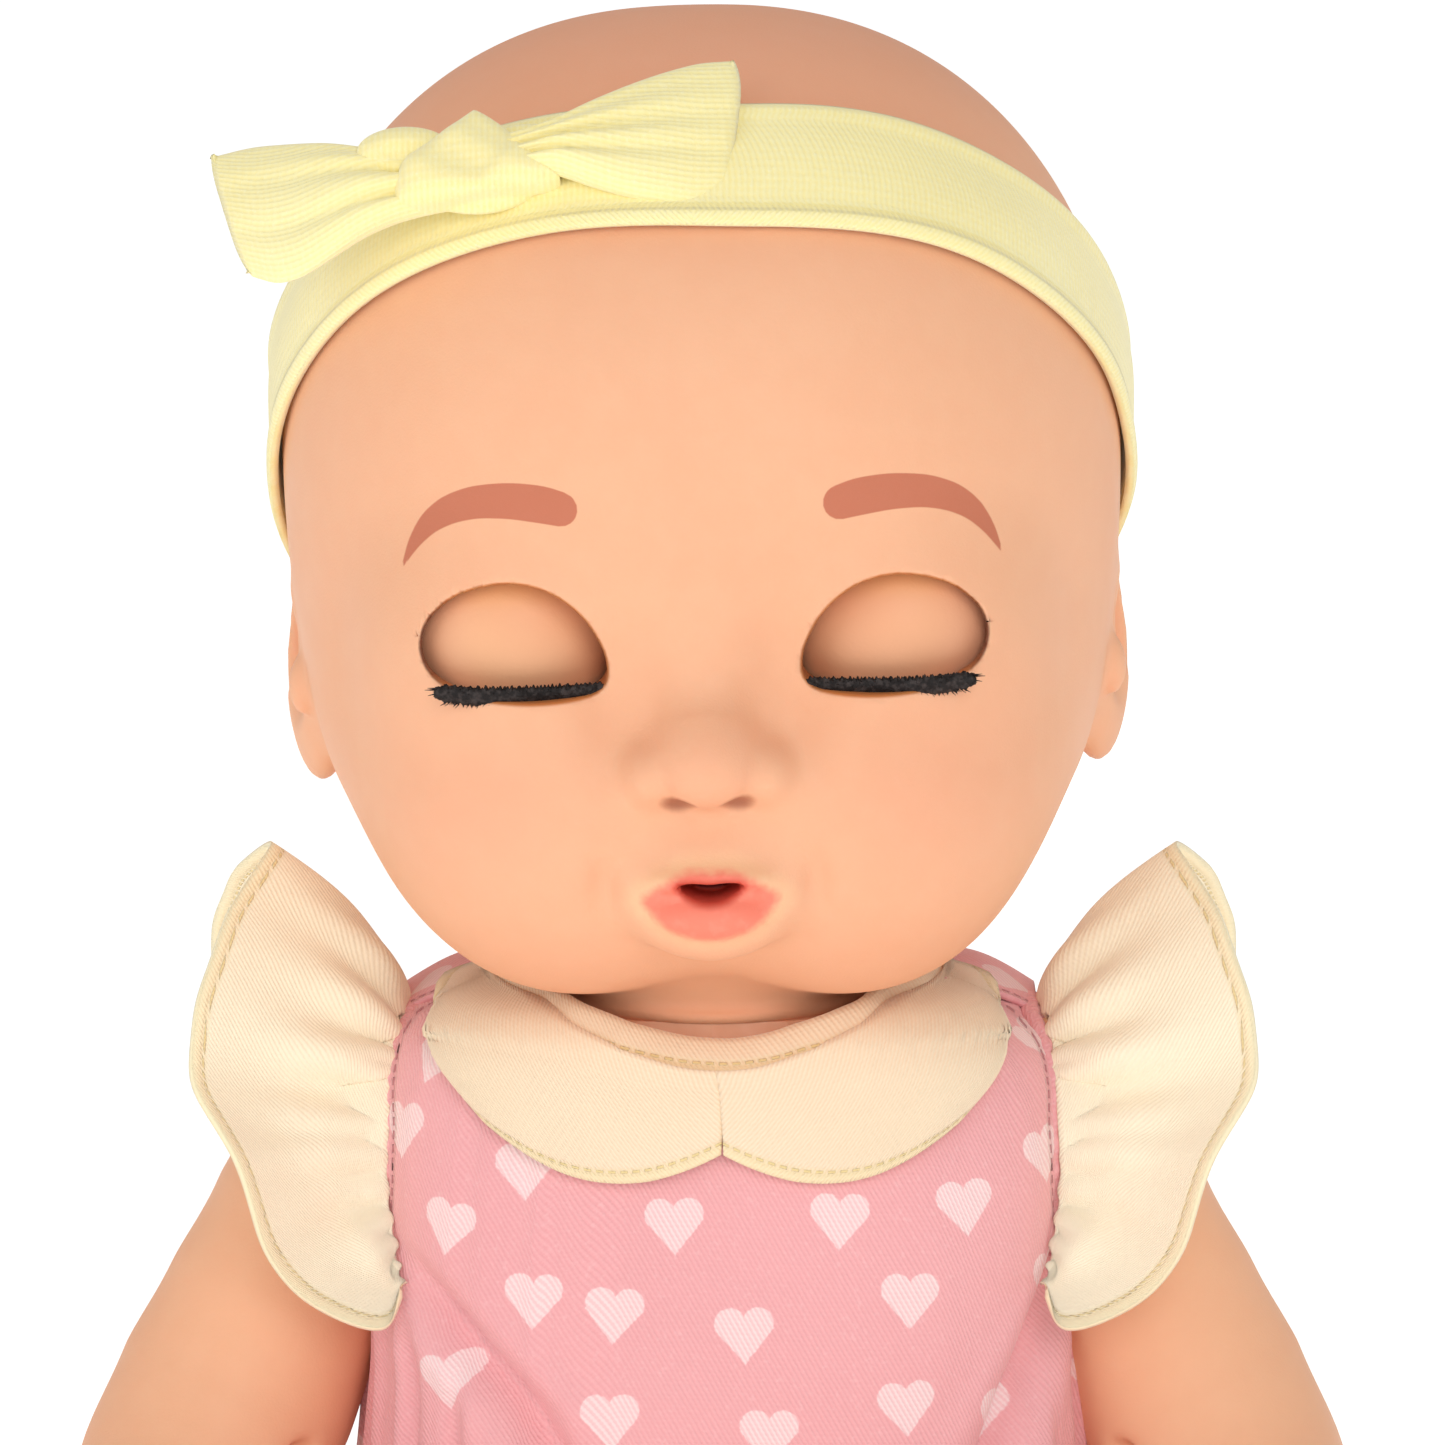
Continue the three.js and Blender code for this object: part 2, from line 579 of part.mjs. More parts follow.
function buildElectronics(inside) {
  const { half, front, low, high, wall } = BATTERY_BOX;
  const room = cutAtJoints(trunk(TORSO, -WALL - 0.4, -WALL - 0.4), WALL + GAP + HALF_GAP);
  const holder = cut(
    common(box([-half, front, low], [half, 40, high]), room),
    box([-half + wall, front + wall, low + wall], [half - wall, 40, high - wall]),
  );
  add('battery_box', holder, GREY);
  for (const [i, k] of [-1, 0, 1].entries()) {
    const x = k * BATTERY.pitch;
    const top = BATTERY.z + BATTERY.length;
    const can = rod([x, BATTERY.y, BATTERY.z], [x, BATTERY.y, top - 1.2], BATTERY.radius, 20);
    const tip = rod([x, BATTERY.y, top - 2], [x, BATTERY.y, top], 2.6, 12);
    add(`battery_${i + 1}`, joined(can, tip), FOIL);
  }
  add('circuit_board', box([-20, -6, 34], [20, -4.4, 74]), GREEN);
  const cone = [
    [0, 0], [9, 0], [9, 3.5], [SPEAKER.radius, 4.5], [SPEAKER.radius, 7], [11.5, 7], [4, 4],
    [0, 4.6],
  ];
  add('speaker', turned(cone, [0, -14, SPEAKER.z], [0, -1, 0], 18), BLACK);

  const at = (y) => [0, y, TUMMY_BUTTON.z];
  const button = [
    [0, 0], [6, 0], [TUMMY_BUTTON.radius, 1], [TUMMY_BUTTON.radius, 4.5], [8.6, 4.5], [8.6, 6],
    [2, 6], [2, 11.4], [0, 11.4],
  ];
  add('tummy_button', turned(button, at(TUMMY_BUTTON.y), [0, 1, 0], 18), SKIN);
  add('tummy_spring', spring(0, TUMMY_BUTTON.z, -20.9, -16.2, 3.2, 0.4, 4), STEEL);
  add('tummy_switch', box([-6, -15.6, TUMMY_BUTTON.z - 5], [6, -10, TUMMY_BUTTON.z + 5]), GREY);

  const z = POWER_SWITCH_Z;
  add('power_switch_housing', common(box([-8, 14, z - 3.4], [8, 18.6, z + 3.4]), inside), GREY);
  const ridge = box([-4.2, 20, z - 1.4], [-0.4, 23.4, z + 1.4]);
  const knob = joined(ridge, box([-4.2, 18.9, z - 3], [-0.4, 20.2, z + 3]));
  add('power_slider', knob, BLACK);
}

function buildNeck() {
  const top = NECK_BASE + NECK_FLANGE + GAP;
  const post = [
    [12.4, 98.7], [19, 98.7], [19, 101.2], [NECK_POST_RADIUS, 101.2],
    [NECK_POST_RADIUS, top + 3.2], [12.4, top + 3.2],
  ];
  add('neck_post', turned([...post, post[0]], [0, 0, 0], [0, 0, 1], 20), GREY);
  const inner = NECK_POST_RADIUS + GAP;
  const ring = [[inner, top], [17.6, top], [17.6, top + 2], [inner, top + 2]];
  add('neck_retainer', turned([...ring, ring[0]], [0, 0, 0], [0, 0, 1], 20), GREY);
}

// ---------------------------------------------------------------------- limbs

// a stepped disc that clips a limb to the torso through both walls
function jointDisc(point, normal, flange) {
  const waist = flange - DISC_STEP;
  const profile = [
    [0, -5.1], [flange, -5.1], [flange, -2.9], [waist, -2.9], [waist, 2.9], [flange, 2.9],
    [flange, 4.9], [0, 4.9],
  ];
  return turned(profile, point, normal, 14);
}

function hollowLimb(outer, inner, point, normal, flange) {
  const inward = normal.map((v) => -v);
  const skin = cut(outer, beyond(point, inward, -HALF_GAP));
  const cavity = cut(inner, beyond(point, inward, -HALF_GAP - WALL));
  const low = point.map((v, i) => v - 2 * normal[i]);
  const high = point.map((v, i) => v + 6 * normal[i]);
  return cut(skin, cavity, rod(low, high, discHole(flange), 14));
}

const mirrored = (stations, side) => stations.map(([x, ...rest]) => [side * x, ...rest]);

// upper arm, elbow, forearm and wrist: [x, y, z, radius]
const ARM = [
  [45, 0, 86, 13], [49.5, -0.4, 79, 12.9], [53.5, -1, 72.5, 12.8], [57.8, -3, 62, 13.4],
  [61.6, -5, 51.5, 14.4], [65.2, -10, 42.5, 14.6], [70.6, -21, 34, 13.4],
  [74.8, -33, 25.5, 11.8], [77.4, -43, 18.5, 9.6], [78.4, -49, 14, 8],
];
const THUMB = [[73.4, -50, 13, 3.4], [70.8, -57, 9.5, 3], [70.8, -62, 7.4, 2.4]];
// thigh, knee, calf and ankle
const LEG = [
  [29, -6, 24.5, 18.6], [33, -18, 23.5, 18.8], [37, -30, 22.4, 18.3], [43.5, -49, 19.8, 16.4],
  [47.4, -61, 17.8, 14.8], [50, -77, 14.4, 13.8], [51.6, -92, 11.8, 10.8], [52, -101, 10.9, 9.6],
];
// heel to toes
const FOOT = [
  [52.2, -104, 10.2, 9.6], [54, -109, 16, 10], [56.5, -112, 24, 9.4], [59.5, -114.5, 33, 8.6],
  [61.8, -115, 40, 6],
];

function buildArms() {
  for (const [name, side] of SIDES) {
    const point = shoulderPoint(side);
    const normal = [side, 0, 0];
    const path = mirrored(ARM, side);
    const shoulder = [side * 46, 0, SHOULDER.z];
    const palm = ball([side * 78.8, -56, 10], [7.6, 9.5, 6], 10, 6);
    const thumb = limb(mirrored(THUMB, side), 0, 6);
    const fingers = ball([side * 79.2, -64, 6.4], [7, 7, 3.8], 10, 6);
    const outer = joined(ball(shoulder, 14.4, 12, 8), limb(path), palm, thumb, fingers);
    const [near, far] = [38, 46].map((x) => [side * x, 0, SHOULDER.z]);
    const discRoom = rod(near, far, SHOULDER_DISC + 0.9, 12);
    const inner = joined(
      ball(shoulder, 14.4 - WALL, 10, 6), limb(path.slice(0, -1), -WALL, 7), discRoom,
    );
    add(`${name}_arm`, hollowLimb(outer, inner, point, normal, SHOULDER_DISC), SKIN);
    add(`${name}_shoulder_disc`, jointDisc(point, normal, SHOULDER_DISC), GREY);
    add(`${name}_flutter_sleeve`, flutterSleeve(side), CREAM);
  }
}

// the sleeve flares like a wing over the shoulder and is open under the arm
function flutterSleeve(side) {
  const steps = 16;
  const [first, last] = [-35, 215];
  const seam = 18.6;
  const thick = 2.2;
  return loft(Array.from({ length: steps + 1 }, (_, k) => {
    const degrees = first + ((last - first) * k) / steps;
    const angle = radians(degrees);
    const rise = Math.max(Math.sin(angle), 0);
    const ends = Math.max(-Math.sin(angle), 0);
    const reach = 30 + 8 * rise ** 3 - 9 * ends;
    const out = 66 - 8 * rise ** 3 - 8 * ends;
    const ring = [
      [41.8, seam], [50, seam + 0.35 * (reach - seam)], [out, reach],
      [out + 0.4, reach - thick], [50.8, seam - thick + 0.35 * (reach - seam)], [41.8, seam - thick],
    ];
    return ring.map(([x, r]) => {
      return vector([side * x, r * Math.cos(angle), SHOULDER.z + r * Math.sin(angle)]);
    });
  }));
}

function buildLegs() {
  for (const [name, side] of SIDES) {
    const point = hipPoint(side);
    const normal = hipNormal(side);
    const path = mirrored(LEG, side);
    const hip = [side * 28, HIP.y, 25.6];
    const heel = ball([side * 52.2, -105.6, 10.2], 9.8, 10, 6);
    const foot = joined(limb(mirrored(FOOT, side), 0, 10), heel);
    const outer = joined(ball(hip, 19, 14, 9), limb(path), foot);
    const inner = joined(ball(hip, 19 - WALL, 10, 6), limb(path.slice(0, -1), -WALL, 7));
    add(`${name}_leg`, hollowLimb(outer, inner, point, normal, HIP_DISC), SKIN);
    add(`${name}_hip_disc`, jointDisc(point, normal, HIP_DISC), GREY);

    const puff = 3;
    const thigh = mirrored([...LEG.slice(0, 3), [41.2, -42.5, 20.7, 17.2]], side);
    const fabric = joined(ball(hip, 19 + puff, 14, 9), limb(thigh, puff));
    const room = joined(ball(hip, 19 + 0.7, 14, 9), limb(path, 0.7));
    const inward = normal.map((v) => -v);
    const leg = cut(fabric, room, beyond(point, inward, -HALF_GAP), beyond([0, 0, 0], [0, 0, -1], 0));
    add(`${name}_romper_leg`, leg, PINK);
  }
}

// -------------------------------------------------------------------- garment

function buildRomper() {
  const lining = TORSO.map(([z, a, b, y], i) => [i === 0 ? z - 0.6 : z, a + 0.6, b + 0.6, y]);
  const room = joined(trunk(lining), trunk([[102, 25.4, 22.6, 0], [110, 25.4, 22.6, 0]]));
  let cloth = trunk(ROMPER);
  for (const [, side] of SIDES) {
    const hipSide = cut(
      beyond(hipPoint(side), hipNormal(side), -GAP),
      beyond([0, 0, 52], [0, 0, 1], 0),
    );
    const armhole = rod([side * 36, 0, SHOULDER.z], [side * 60, 0, SHOULDER.z], 18.9, 16);
    const cupRoom = rod([side * 20, 0, SHOULDER.z], [side * 60, 0, SHOULDER.z], 11.8, 16);
    cloth = cut(cloth, hipSide, armhole, cupRoom);
  }
  add('romper_body', cut(cloth, room), PINK);

  // each collar lobe, from the notch at the front round its edge to the neckline
  const lobe = [
    [0.3, 88.6], [7, 86], [14.5, 85.2], [23.5, 87.2], [31, 92], [35.5, 98.2], [34, 100.4],
    [29, 100.6], [24, 99.6], [12, 97.6], [0.3, 97.1],
  ];
  const under = trunk(ROMPER, 0.35);
  const over = trunk(ROMPER, 1.7);
  for (const [name, side] of SIDES) {
    const outline = mirrored(lobe, side);
    const sheet = common(cut(over, under), pressed(side > 0 ? outline : outline.reverse(), -60, 4));
    add(`${name}_collar`, sheet, CREAM);
  }

  // the neckline band lies on the top edge of the romper
  const bandRing = Array.from({ length: 24 }, (_, k) => {
    const angle = (2 * Math.PI * k) / 24;
    const [c, s] = [Math.cos(angle), Math.sin(angle)];
    return [[25.4, 0], [27.6, 0], [27.2, 1.6], [25.2, 1.7]].map(([r, up]) => {
      return vector([r * c, (r - 2.9) * s, 104.6 + up]);
    });
  });
  add('neckline_band', loft(bandRing, true), CREAM);

  const strip = cut(trunk(ROMPER, 1.4), under);
  add('back_placket', common(strip, box([-7, 5, 40], [7, 60, 100])), PINK);
}

buildEyes();
buildMouth();
add('head_shell', buildHeadShell(), SKIN);
buildHeadband();
buildElectronics(buildTorso());
buildNeck();
buildArms();
buildLegs();
buildRomper();

export default doll;
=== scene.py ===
"""Looks of the seated baby doll: vinyl head, arms and legs, sleep eyes, romper, headband and bow.

Shapes are worked out in millimetres and become metres when a mesh is made. The doll faces -Y and
its left side is +X.
"""
import json
import math
import bpy
import numpy as np
from mathutils import Matrix, Vector


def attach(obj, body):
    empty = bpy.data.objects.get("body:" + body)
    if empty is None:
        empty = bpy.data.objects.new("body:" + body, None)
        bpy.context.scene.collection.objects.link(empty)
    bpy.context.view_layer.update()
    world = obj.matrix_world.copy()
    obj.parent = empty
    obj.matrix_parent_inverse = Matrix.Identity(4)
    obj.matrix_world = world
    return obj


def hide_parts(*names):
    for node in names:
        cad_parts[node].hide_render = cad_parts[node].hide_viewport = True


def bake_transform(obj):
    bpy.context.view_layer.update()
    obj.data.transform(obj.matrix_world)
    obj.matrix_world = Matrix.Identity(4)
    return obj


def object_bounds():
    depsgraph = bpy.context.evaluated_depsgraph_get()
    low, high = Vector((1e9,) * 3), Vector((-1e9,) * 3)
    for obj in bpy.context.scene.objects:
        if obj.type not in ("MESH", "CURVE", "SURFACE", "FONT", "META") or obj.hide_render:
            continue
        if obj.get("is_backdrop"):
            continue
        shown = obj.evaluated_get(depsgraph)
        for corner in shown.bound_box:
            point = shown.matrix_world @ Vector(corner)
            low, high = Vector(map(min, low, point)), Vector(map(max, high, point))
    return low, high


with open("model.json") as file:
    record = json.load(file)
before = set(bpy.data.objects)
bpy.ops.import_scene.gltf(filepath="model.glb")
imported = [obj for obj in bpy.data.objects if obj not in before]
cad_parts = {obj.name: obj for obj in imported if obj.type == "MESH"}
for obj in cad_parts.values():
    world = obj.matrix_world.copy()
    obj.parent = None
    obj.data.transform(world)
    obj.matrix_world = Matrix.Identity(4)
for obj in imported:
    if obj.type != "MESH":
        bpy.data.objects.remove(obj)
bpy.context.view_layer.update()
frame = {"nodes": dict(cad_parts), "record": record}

MM = 0.001
SIDES = (("left", 1), ("right", -1))
BLOCK = 4  # grid points along each side of a block
GRID = 0.8  # spacing for the moulded shapes
LEAN = math.radians(1.5)  # the head sits a little askew on its neck
LEAN_HEIGHT = 120
NECK_FOOT, NECK_BEND = 106, 18

# ------------------------------------------------------------------ distances


def smooth_union(a, b, k):
    share = np.maximum(k - np.abs(a - b), 0) / k
    return np.minimum(a, b) - share * share * k / 4


def smooth_cut(a, b, k):
    return -smooth_union(-a, b, k)


def ellipsoid(p, centre, half, turn=None):
    q = p - np.array(centre, np.float32)
    if turn is not None:
        q = q @ np.array(turn, np.float32)
    half = np.array(half, np.float32)
    near = np.linalg.norm(q / half, axis=1)
    slope = np.linalg.norm(q / half**2, axis=1)
    return near * (near - 1) / np.maximum(slope, 1e-5) - np.where(slope < 1e-5, min(half), 0)


def cone(p, a, b, ra, rb):
    a, b = np.array(a, np.float32), np.array(b, np.float32)
    along = b - a
    share = np.clip((p - a) @ along / (along @ along), 0, 1)
    gone = np.linalg.norm(p - a - share[:, None] * along, axis=1)
    return gone - (ra + share * (rb - ra))


def limb(p, stations, k):
    """a chain of rounded cones through stations [x, y, z, radius]"""
    d = None
    for a, b in zip(stations, stations[1:]):
        piece = cone(p, a[:3], b[:3], a[3], b[3])
        d = piece if d is None else smooth_union(d, piece, k)
    return d


def outline_distance(u, w, points):
    """signed distance to a closed outline in a plane, negative inside"""
    points = np.array(points, np.float32)
    after = np.roll(points, -1, axis=0)
    best = np.full(len(u), 1e6, np.float32)
    crossings = np.zeros(len(u), int)
    for (ax, ay), (bx, by) in zip(points, after):
        dx, dy = bx - ax, by - ay
        share = np.clip(((u - ax) * dx + (w - ay) * dy) / (dx * dx + dy * dy), 0, 1)
        best = np.minimum(best, np.hypot(u - ax - share * dx, w - ay - share * dy))
        spans = (ay > w) != (by > w)
        cut_at = ax + (w - ay) * dx / (dy if abs(dy) > 1e-9 else 1e-9)
        crossings += spans & (u < cut_at)
    return np.where(crossings % 2 == 1, -best, best)


def rounded(points, per=5):
    """a smooth closed curve through points"""
    p = np.array(points, float)
    a, b, c, d = np.roll(p, 1, 0), p, np.roll(p, -1, 0), np.roll(p, -2, 0)
    out = []
    for i in range(len(p)):
        for t in np.arange(per) / per:
            out.append(0.5 * (2 * b[i] + (c[i] - a[i]) * t
                              + (2 * a[i] - 5 * b[i] + 4 * c[i] - d[i]) * t * t
                              + (3 * b[i] - a[i] - 3 * c[i] + d[i]) * t**3))
    return np.array(out)


def near_only(p, centre, reach, distance):
    """distance(p) for the points within reach of centre, and far away for the rest"""
    close = np.linalg.norm(p - np.array(centre, np.float32), axis=1) < reach
    value = np.full(len(p), 50, np.float32)
    if close.any():
        value[close] = distance(p[close])
    return value


def gradient(field, p, step=0.2):
    out = np.zeros_like(p)
    for axis in range(3):
        shift = np.zeros(3, np.float32)
        shift[axis] = step
        out[:, axis] = (field(p + shift) - field(p - shift)) / (2 * step)
    return out


def surface(field, low, high, step):
    """points, quads and normals of the surface where field is zero"""
    low = np.array(low, np.float32)
    blocks = np.ceil((np.array(high) - low) / step / BLOCK).astype(int) + 1
    middle = np.stack(np.meshgrid(*[np.arange(n) for n in blocks], indexing="ij"), -1)
    middle = middle.reshape(-1, 3)
    centres = low + (middle * BLOCK + (BLOCK - 1) / 2).astype(np.float32) * step
    coarse = field(centres)
    dims = blocks * BLOCK
    value = np.repeat(np.repeat(np.repeat(coarse.reshape(blocks), BLOCK, 0), BLOCK, 1), BLOCK, 2)
    close = np.abs(coarse) < BLOCK * step * 1.5
    inner = np.stack(np.meshgrid(*[np.arange(BLOCK)] * 3, indexing="ij"), -1).reshape(-1, 3)
    index = (middle[close][:, None, :] * BLOCK + inner[None]).reshape(-1, 3)
    for start in range(0, len(index), 200000):
        part = index[start:start + 200000]
        value[part[:, 0], part[:, 1], part[:, 2]] = field(low + part.astype(np.float32) * step)
    inside = value < 0
    offsets = np.stack(np.meshgrid([0, 1], [0, 1], [0, 1], indexing="ij"), -1).reshape(-1, 3)
    count = sum(inside[tuple(slice(o, n - 1 + o) for o, n in zip(off, dims))].astype(np.int8)
                for off in offsets)
    cells = np.argwhere((count > 0) & (count < 8))
    number = np.full(dims, -1)
    number[tuple(cells.T)] = np.arange(len(cells))
    corner = np.stack([value[tuple((cells + off).T)] for off in offsets], 1)
    total = np.zeros((len(cells), 3), np.float32)
    hits = np.zeros(len(cells), np.float32)
    for i, a in enumerate(offsets):
        for j, b in enumerate(offsets):
            if j <= i or np.abs(a - b).sum() != 1:
                continue
            crosses = (corner[:, i] < 0) != (corner[:, j] < 0)
            gap = corner[:, i] - corner[:, j]
            share = np.where(crosses, corner[:, i] / np.where(gap == 0, 1, gap), 0)
            total += np.where(crosses[:, None], a + share[:, None] * (b - a), 0)
            hits += crosses
    points = low + (cells + total / hits[:, None]).astype(np.float32) * step
    quads = []
    for axis in range(3):
        u, v = [(1, 2), (2, 0), (0, 1)][axis]
        here = [slice(0, n - 1) for n in dims]
        there = list(here)
        there[axis] = slice(1, dims[axis])
        a, b = inside[tuple(here)], inside[tuple(there)]
        for way in (True, False):
            found = np.argwhere(a & ~b if way else ~a & b)
            found = found[(found[:, u] > 0) & (found[:, v] > 0)]
            du, dv = np.zeros(3, int), np.zeros(3, int)
            du[u], dv[v] = 1, 1
            ring = [found - du - dv, found - dv, found, found - du]
            quad = np.stack([number[tuple(r.T)] for r in ring], 1)
            quads.append(quad if way else quad[:, ::-1])
    quads = np.concatenate(quads)
    quads = quads[(quads >= 0).all(1)]
    for _ in range(3):
        slope = gradient(field, points)
        steep = np.maximum((slope**2).sum(1), 0.09)
        move = -(field(points) / steep)[:, None] * slope
        points = points + np.clip(move, -step, step)
    slope = gradient(field, points, 0.15)
    normals = slope / np.maximum(np.linalg.norm(slope, axis=1), 1e-6)[:, None]
    return points, quads, normals


# --------------------------------------------------------------------- meshes


def lean_at(z):
    """the lean grows from nothing at the neck's foot, so that the neck still turns true"""
    share = np.clip((z - NECK_FOOT) / NECK_BEND, 0, 1)
    turn = LEAN * share**2 * (3 - 2 * share)
    return np.cos(turn), np.sin(turn)


def leaning(points):
    c, s = lean_at(points[:, 2])
    x, z = points[:, 0], points[:, 2] - LEAN_HEIGHT
    return np.stack([c * x - s * z, points[:, 1], s * x + c * z + LEAN_HEIGHT], 1)


def lean_grid(grid):
    return leaning(grid.reshape(-1, 3)).reshape(grid.shape)


def lean_normals(normals, points):
    c, s = lean_at(points[:, 2])
    x, z = normals[:, 0], normals[:, 2]
    return np.stack([c * x - s * z, normals[:, 1], s * x + c * z], 1)


def make(name, points, faces, look, normals=None, values=None, corner_values=None):
    mesh = bpy.data.meshes.new(name)
    mesh.from_pydata((np.array(points, float) * MM).tolist(), [], np.array(faces).tolist())
    mesh.shade_smooth()
    for key, found in (values or {}).items():
        layer = mesh.attributes.new(key, "FLOAT", "POINT")
        layer.data.foreach_set("value", np.array(found, np.float32))
    for key, found in (corner_values or {}).items():
        layer = mesh.uv_layers.new(name=key)
        layer.data.foreach_set("uv", np.array(found, np.float32).ravel())
    if normals is not None:
        mesh.normals_split_custom_set_from_vertices(np.array(normals, float).tolist())
    mesh.materials.append(look)
    thing = bpy.data.objects.new(name, mesh)
    bpy.context.scene.collection.objects.link(thing)
    return thing


def flipped(points):
    return points * np.array([-1, 1, 1])


def grid_normals(grid, wrap):
    if wrap:
        along = np.roll(grid, -1, 1) - np.roll(grid, 1, 1)
    else:
        along = np.gradient(grid, axis=1)
    across = np.gradient(grid, axis=0)
    n = np.cross(along, across)
    return n / np.maximum(np.linalg.norm(n, axis=2, keepdims=True), 1e-9)


def cloth(name, grid, thick, look, wrap=False, keep=None, hearts=None, flip=False, values=None):
    """A sheet of cloth with both faces and its edges. grid holds points of its outer face, row by
    row; wrap joins the last column to the first; keep marks the cells that are left."""
    rows, cols = grid.shape[:2]
    outward = grid_normals(grid, wrap) * (-1 if flip else 1)
    outer = grid.reshape(-1, 3)
    inner = (grid - outward * thick).reshape(-1, 3)
    wide = cols if wrap else cols - 1
    i, j = np.meshgrid(np.arange(rows - 1), np.arange(wide), indexing="ij")
    if keep is not None:
        chosen = keep[:, :wide]
        i, j = i[chosen], j[chosen]
    i, j = i.ravel(), j.ravel()
    right = (j + 1) % cols
    quad = np.stack([i * cols + j, i * cols + right, (i + 1) * cols + right, (i + 1) * cols + j], 1)
    step_s = np.linalg.norm(np.diff(grid, axis=1, append=grid[:, :1]), axis=2)
    s = np.concatenate([np.zeros((rows, 1)), np.cumsum(step_s, 1)], 1)
    s -= s[:, cols // 2][:, None]
    step_t = np.linalg.norm(np.diff(grid, axis=0), axis=2)
    t = np.concatenate([np.zeros((1, cols)), np.cumsum(step_t, 0)])
    weave = np.stack([
        np.stack([s[i, j], t[i, j]], 1), np.stack([s[i, j + 1], t[i, right]], 1),
        np.stack([s[i + 1, j + 1], t[i + 1, right]], 1), np.stack([s[i + 1, j], t[i + 1, j]], 1),
    ], 1)
    total = rows * cols
    if flip:
        quad, weave = quad[:, ::-1], weave[:, ::-1]
    edges = np.stack([quad, np.roll(quad, -1, 1)], 2).reshape(-1, 2)
    keys = edges[:, 0] * total + edges[:, 1]
    lone = edges[~np.isin(keys, edges[:, 1] * total + edges[:, 0])]
    first_uv = weave.reshape(-1, 2)[~np.isin(keys, edges[:, 1] * total + edges[:, 0])]
    wall = np.stack([lone[:, 1], lone[:, 0], lone[:, 0] + total, lone[:, 1] + total], 1)
    faces = np.concatenate([quad, quad[:, ::-1] + total, wall])
    weave = np.concatenate([weave, weave[:, ::-1], np.repeat(first_uv[:, None], 4, 1)])
    points = np.concatenate([outer, inner])
    used = np.unique(faces)
    number = np.full(len(points), -1)
    number[used] = np.arange(len(used))
    faces, points = number[faces], points[used]
    corners = {"weave": weave.reshape(-1, 2) * MM}
    if hearts is not None:
        corners["heart"] = heart_places(points, faces, hearts)
    layers = {key: np.tile(v.ravel(), 2)[used] for key, v in (values or {}).items()}
    return make(name, points, faces, look, values=layers, corner_values=corners)


def heart_places(points, faces, hearts):
    """each corner's place within the nearest printed heart, in half heart widths"""
    middle = points[faces].mean(1)
    if not len(hearts):
        return np.full((faces.size, 2), 9.0)
    centres = np.array([h[0] for h in hearts])
    gaps = np.linalg.norm(middle[:, None] - centres[None], axis=2)
    nearest = gaps.argmin(1)
    across = np.array([h[1] for h in hearts])[nearest]
    up = np.array([h[2] for h in hearts])[nearest]
    away = points[faces] - centres[nearest][:, None]
    place = np.stack([(away * across[:, None]).sum(2), (away * up[:, None]).sum(2)], 2)
    place /= HEART_HALF
    place[gaps.min(1) > 7.5] = 9
    return place.reshape(-1, 2)


HEART_HALF = 3.7


def heart_at(grid, row, col, wrap, tilt=0):
    """a heart printed on a grid of cloth: its centre, rightward and upward directions"""
    normal = grid_normals(grid, wrap)[row, col]
    up = np.array([0, 0, 1.0]) - normal[2] * normal
    if np.linalg.norm(up) < 0.3:
        up = np.array([0, 1.0, 0]) - normal[1] * normal
    up /= np.linalg.norm(up)
    across = np.cross(up, normal)
    turn = math.radians(tilt)
    return (grid[row, col], across * math.cos(turn) + up * math.sin(turn),
            up * math.cos(turn) - across * math.sin(turn))


# ---------------------------------------------------------------------- looks


def rgb(red, green, blue):
    """an sRGB colour as the shader wants it"""
    return tuple((v / 255 / 12.92) if v / 255 < 0.04045 else ((v / 255 + 0.055) / 1.055) ** 2.4
                 for v in (red, green, blue)) + (1,)


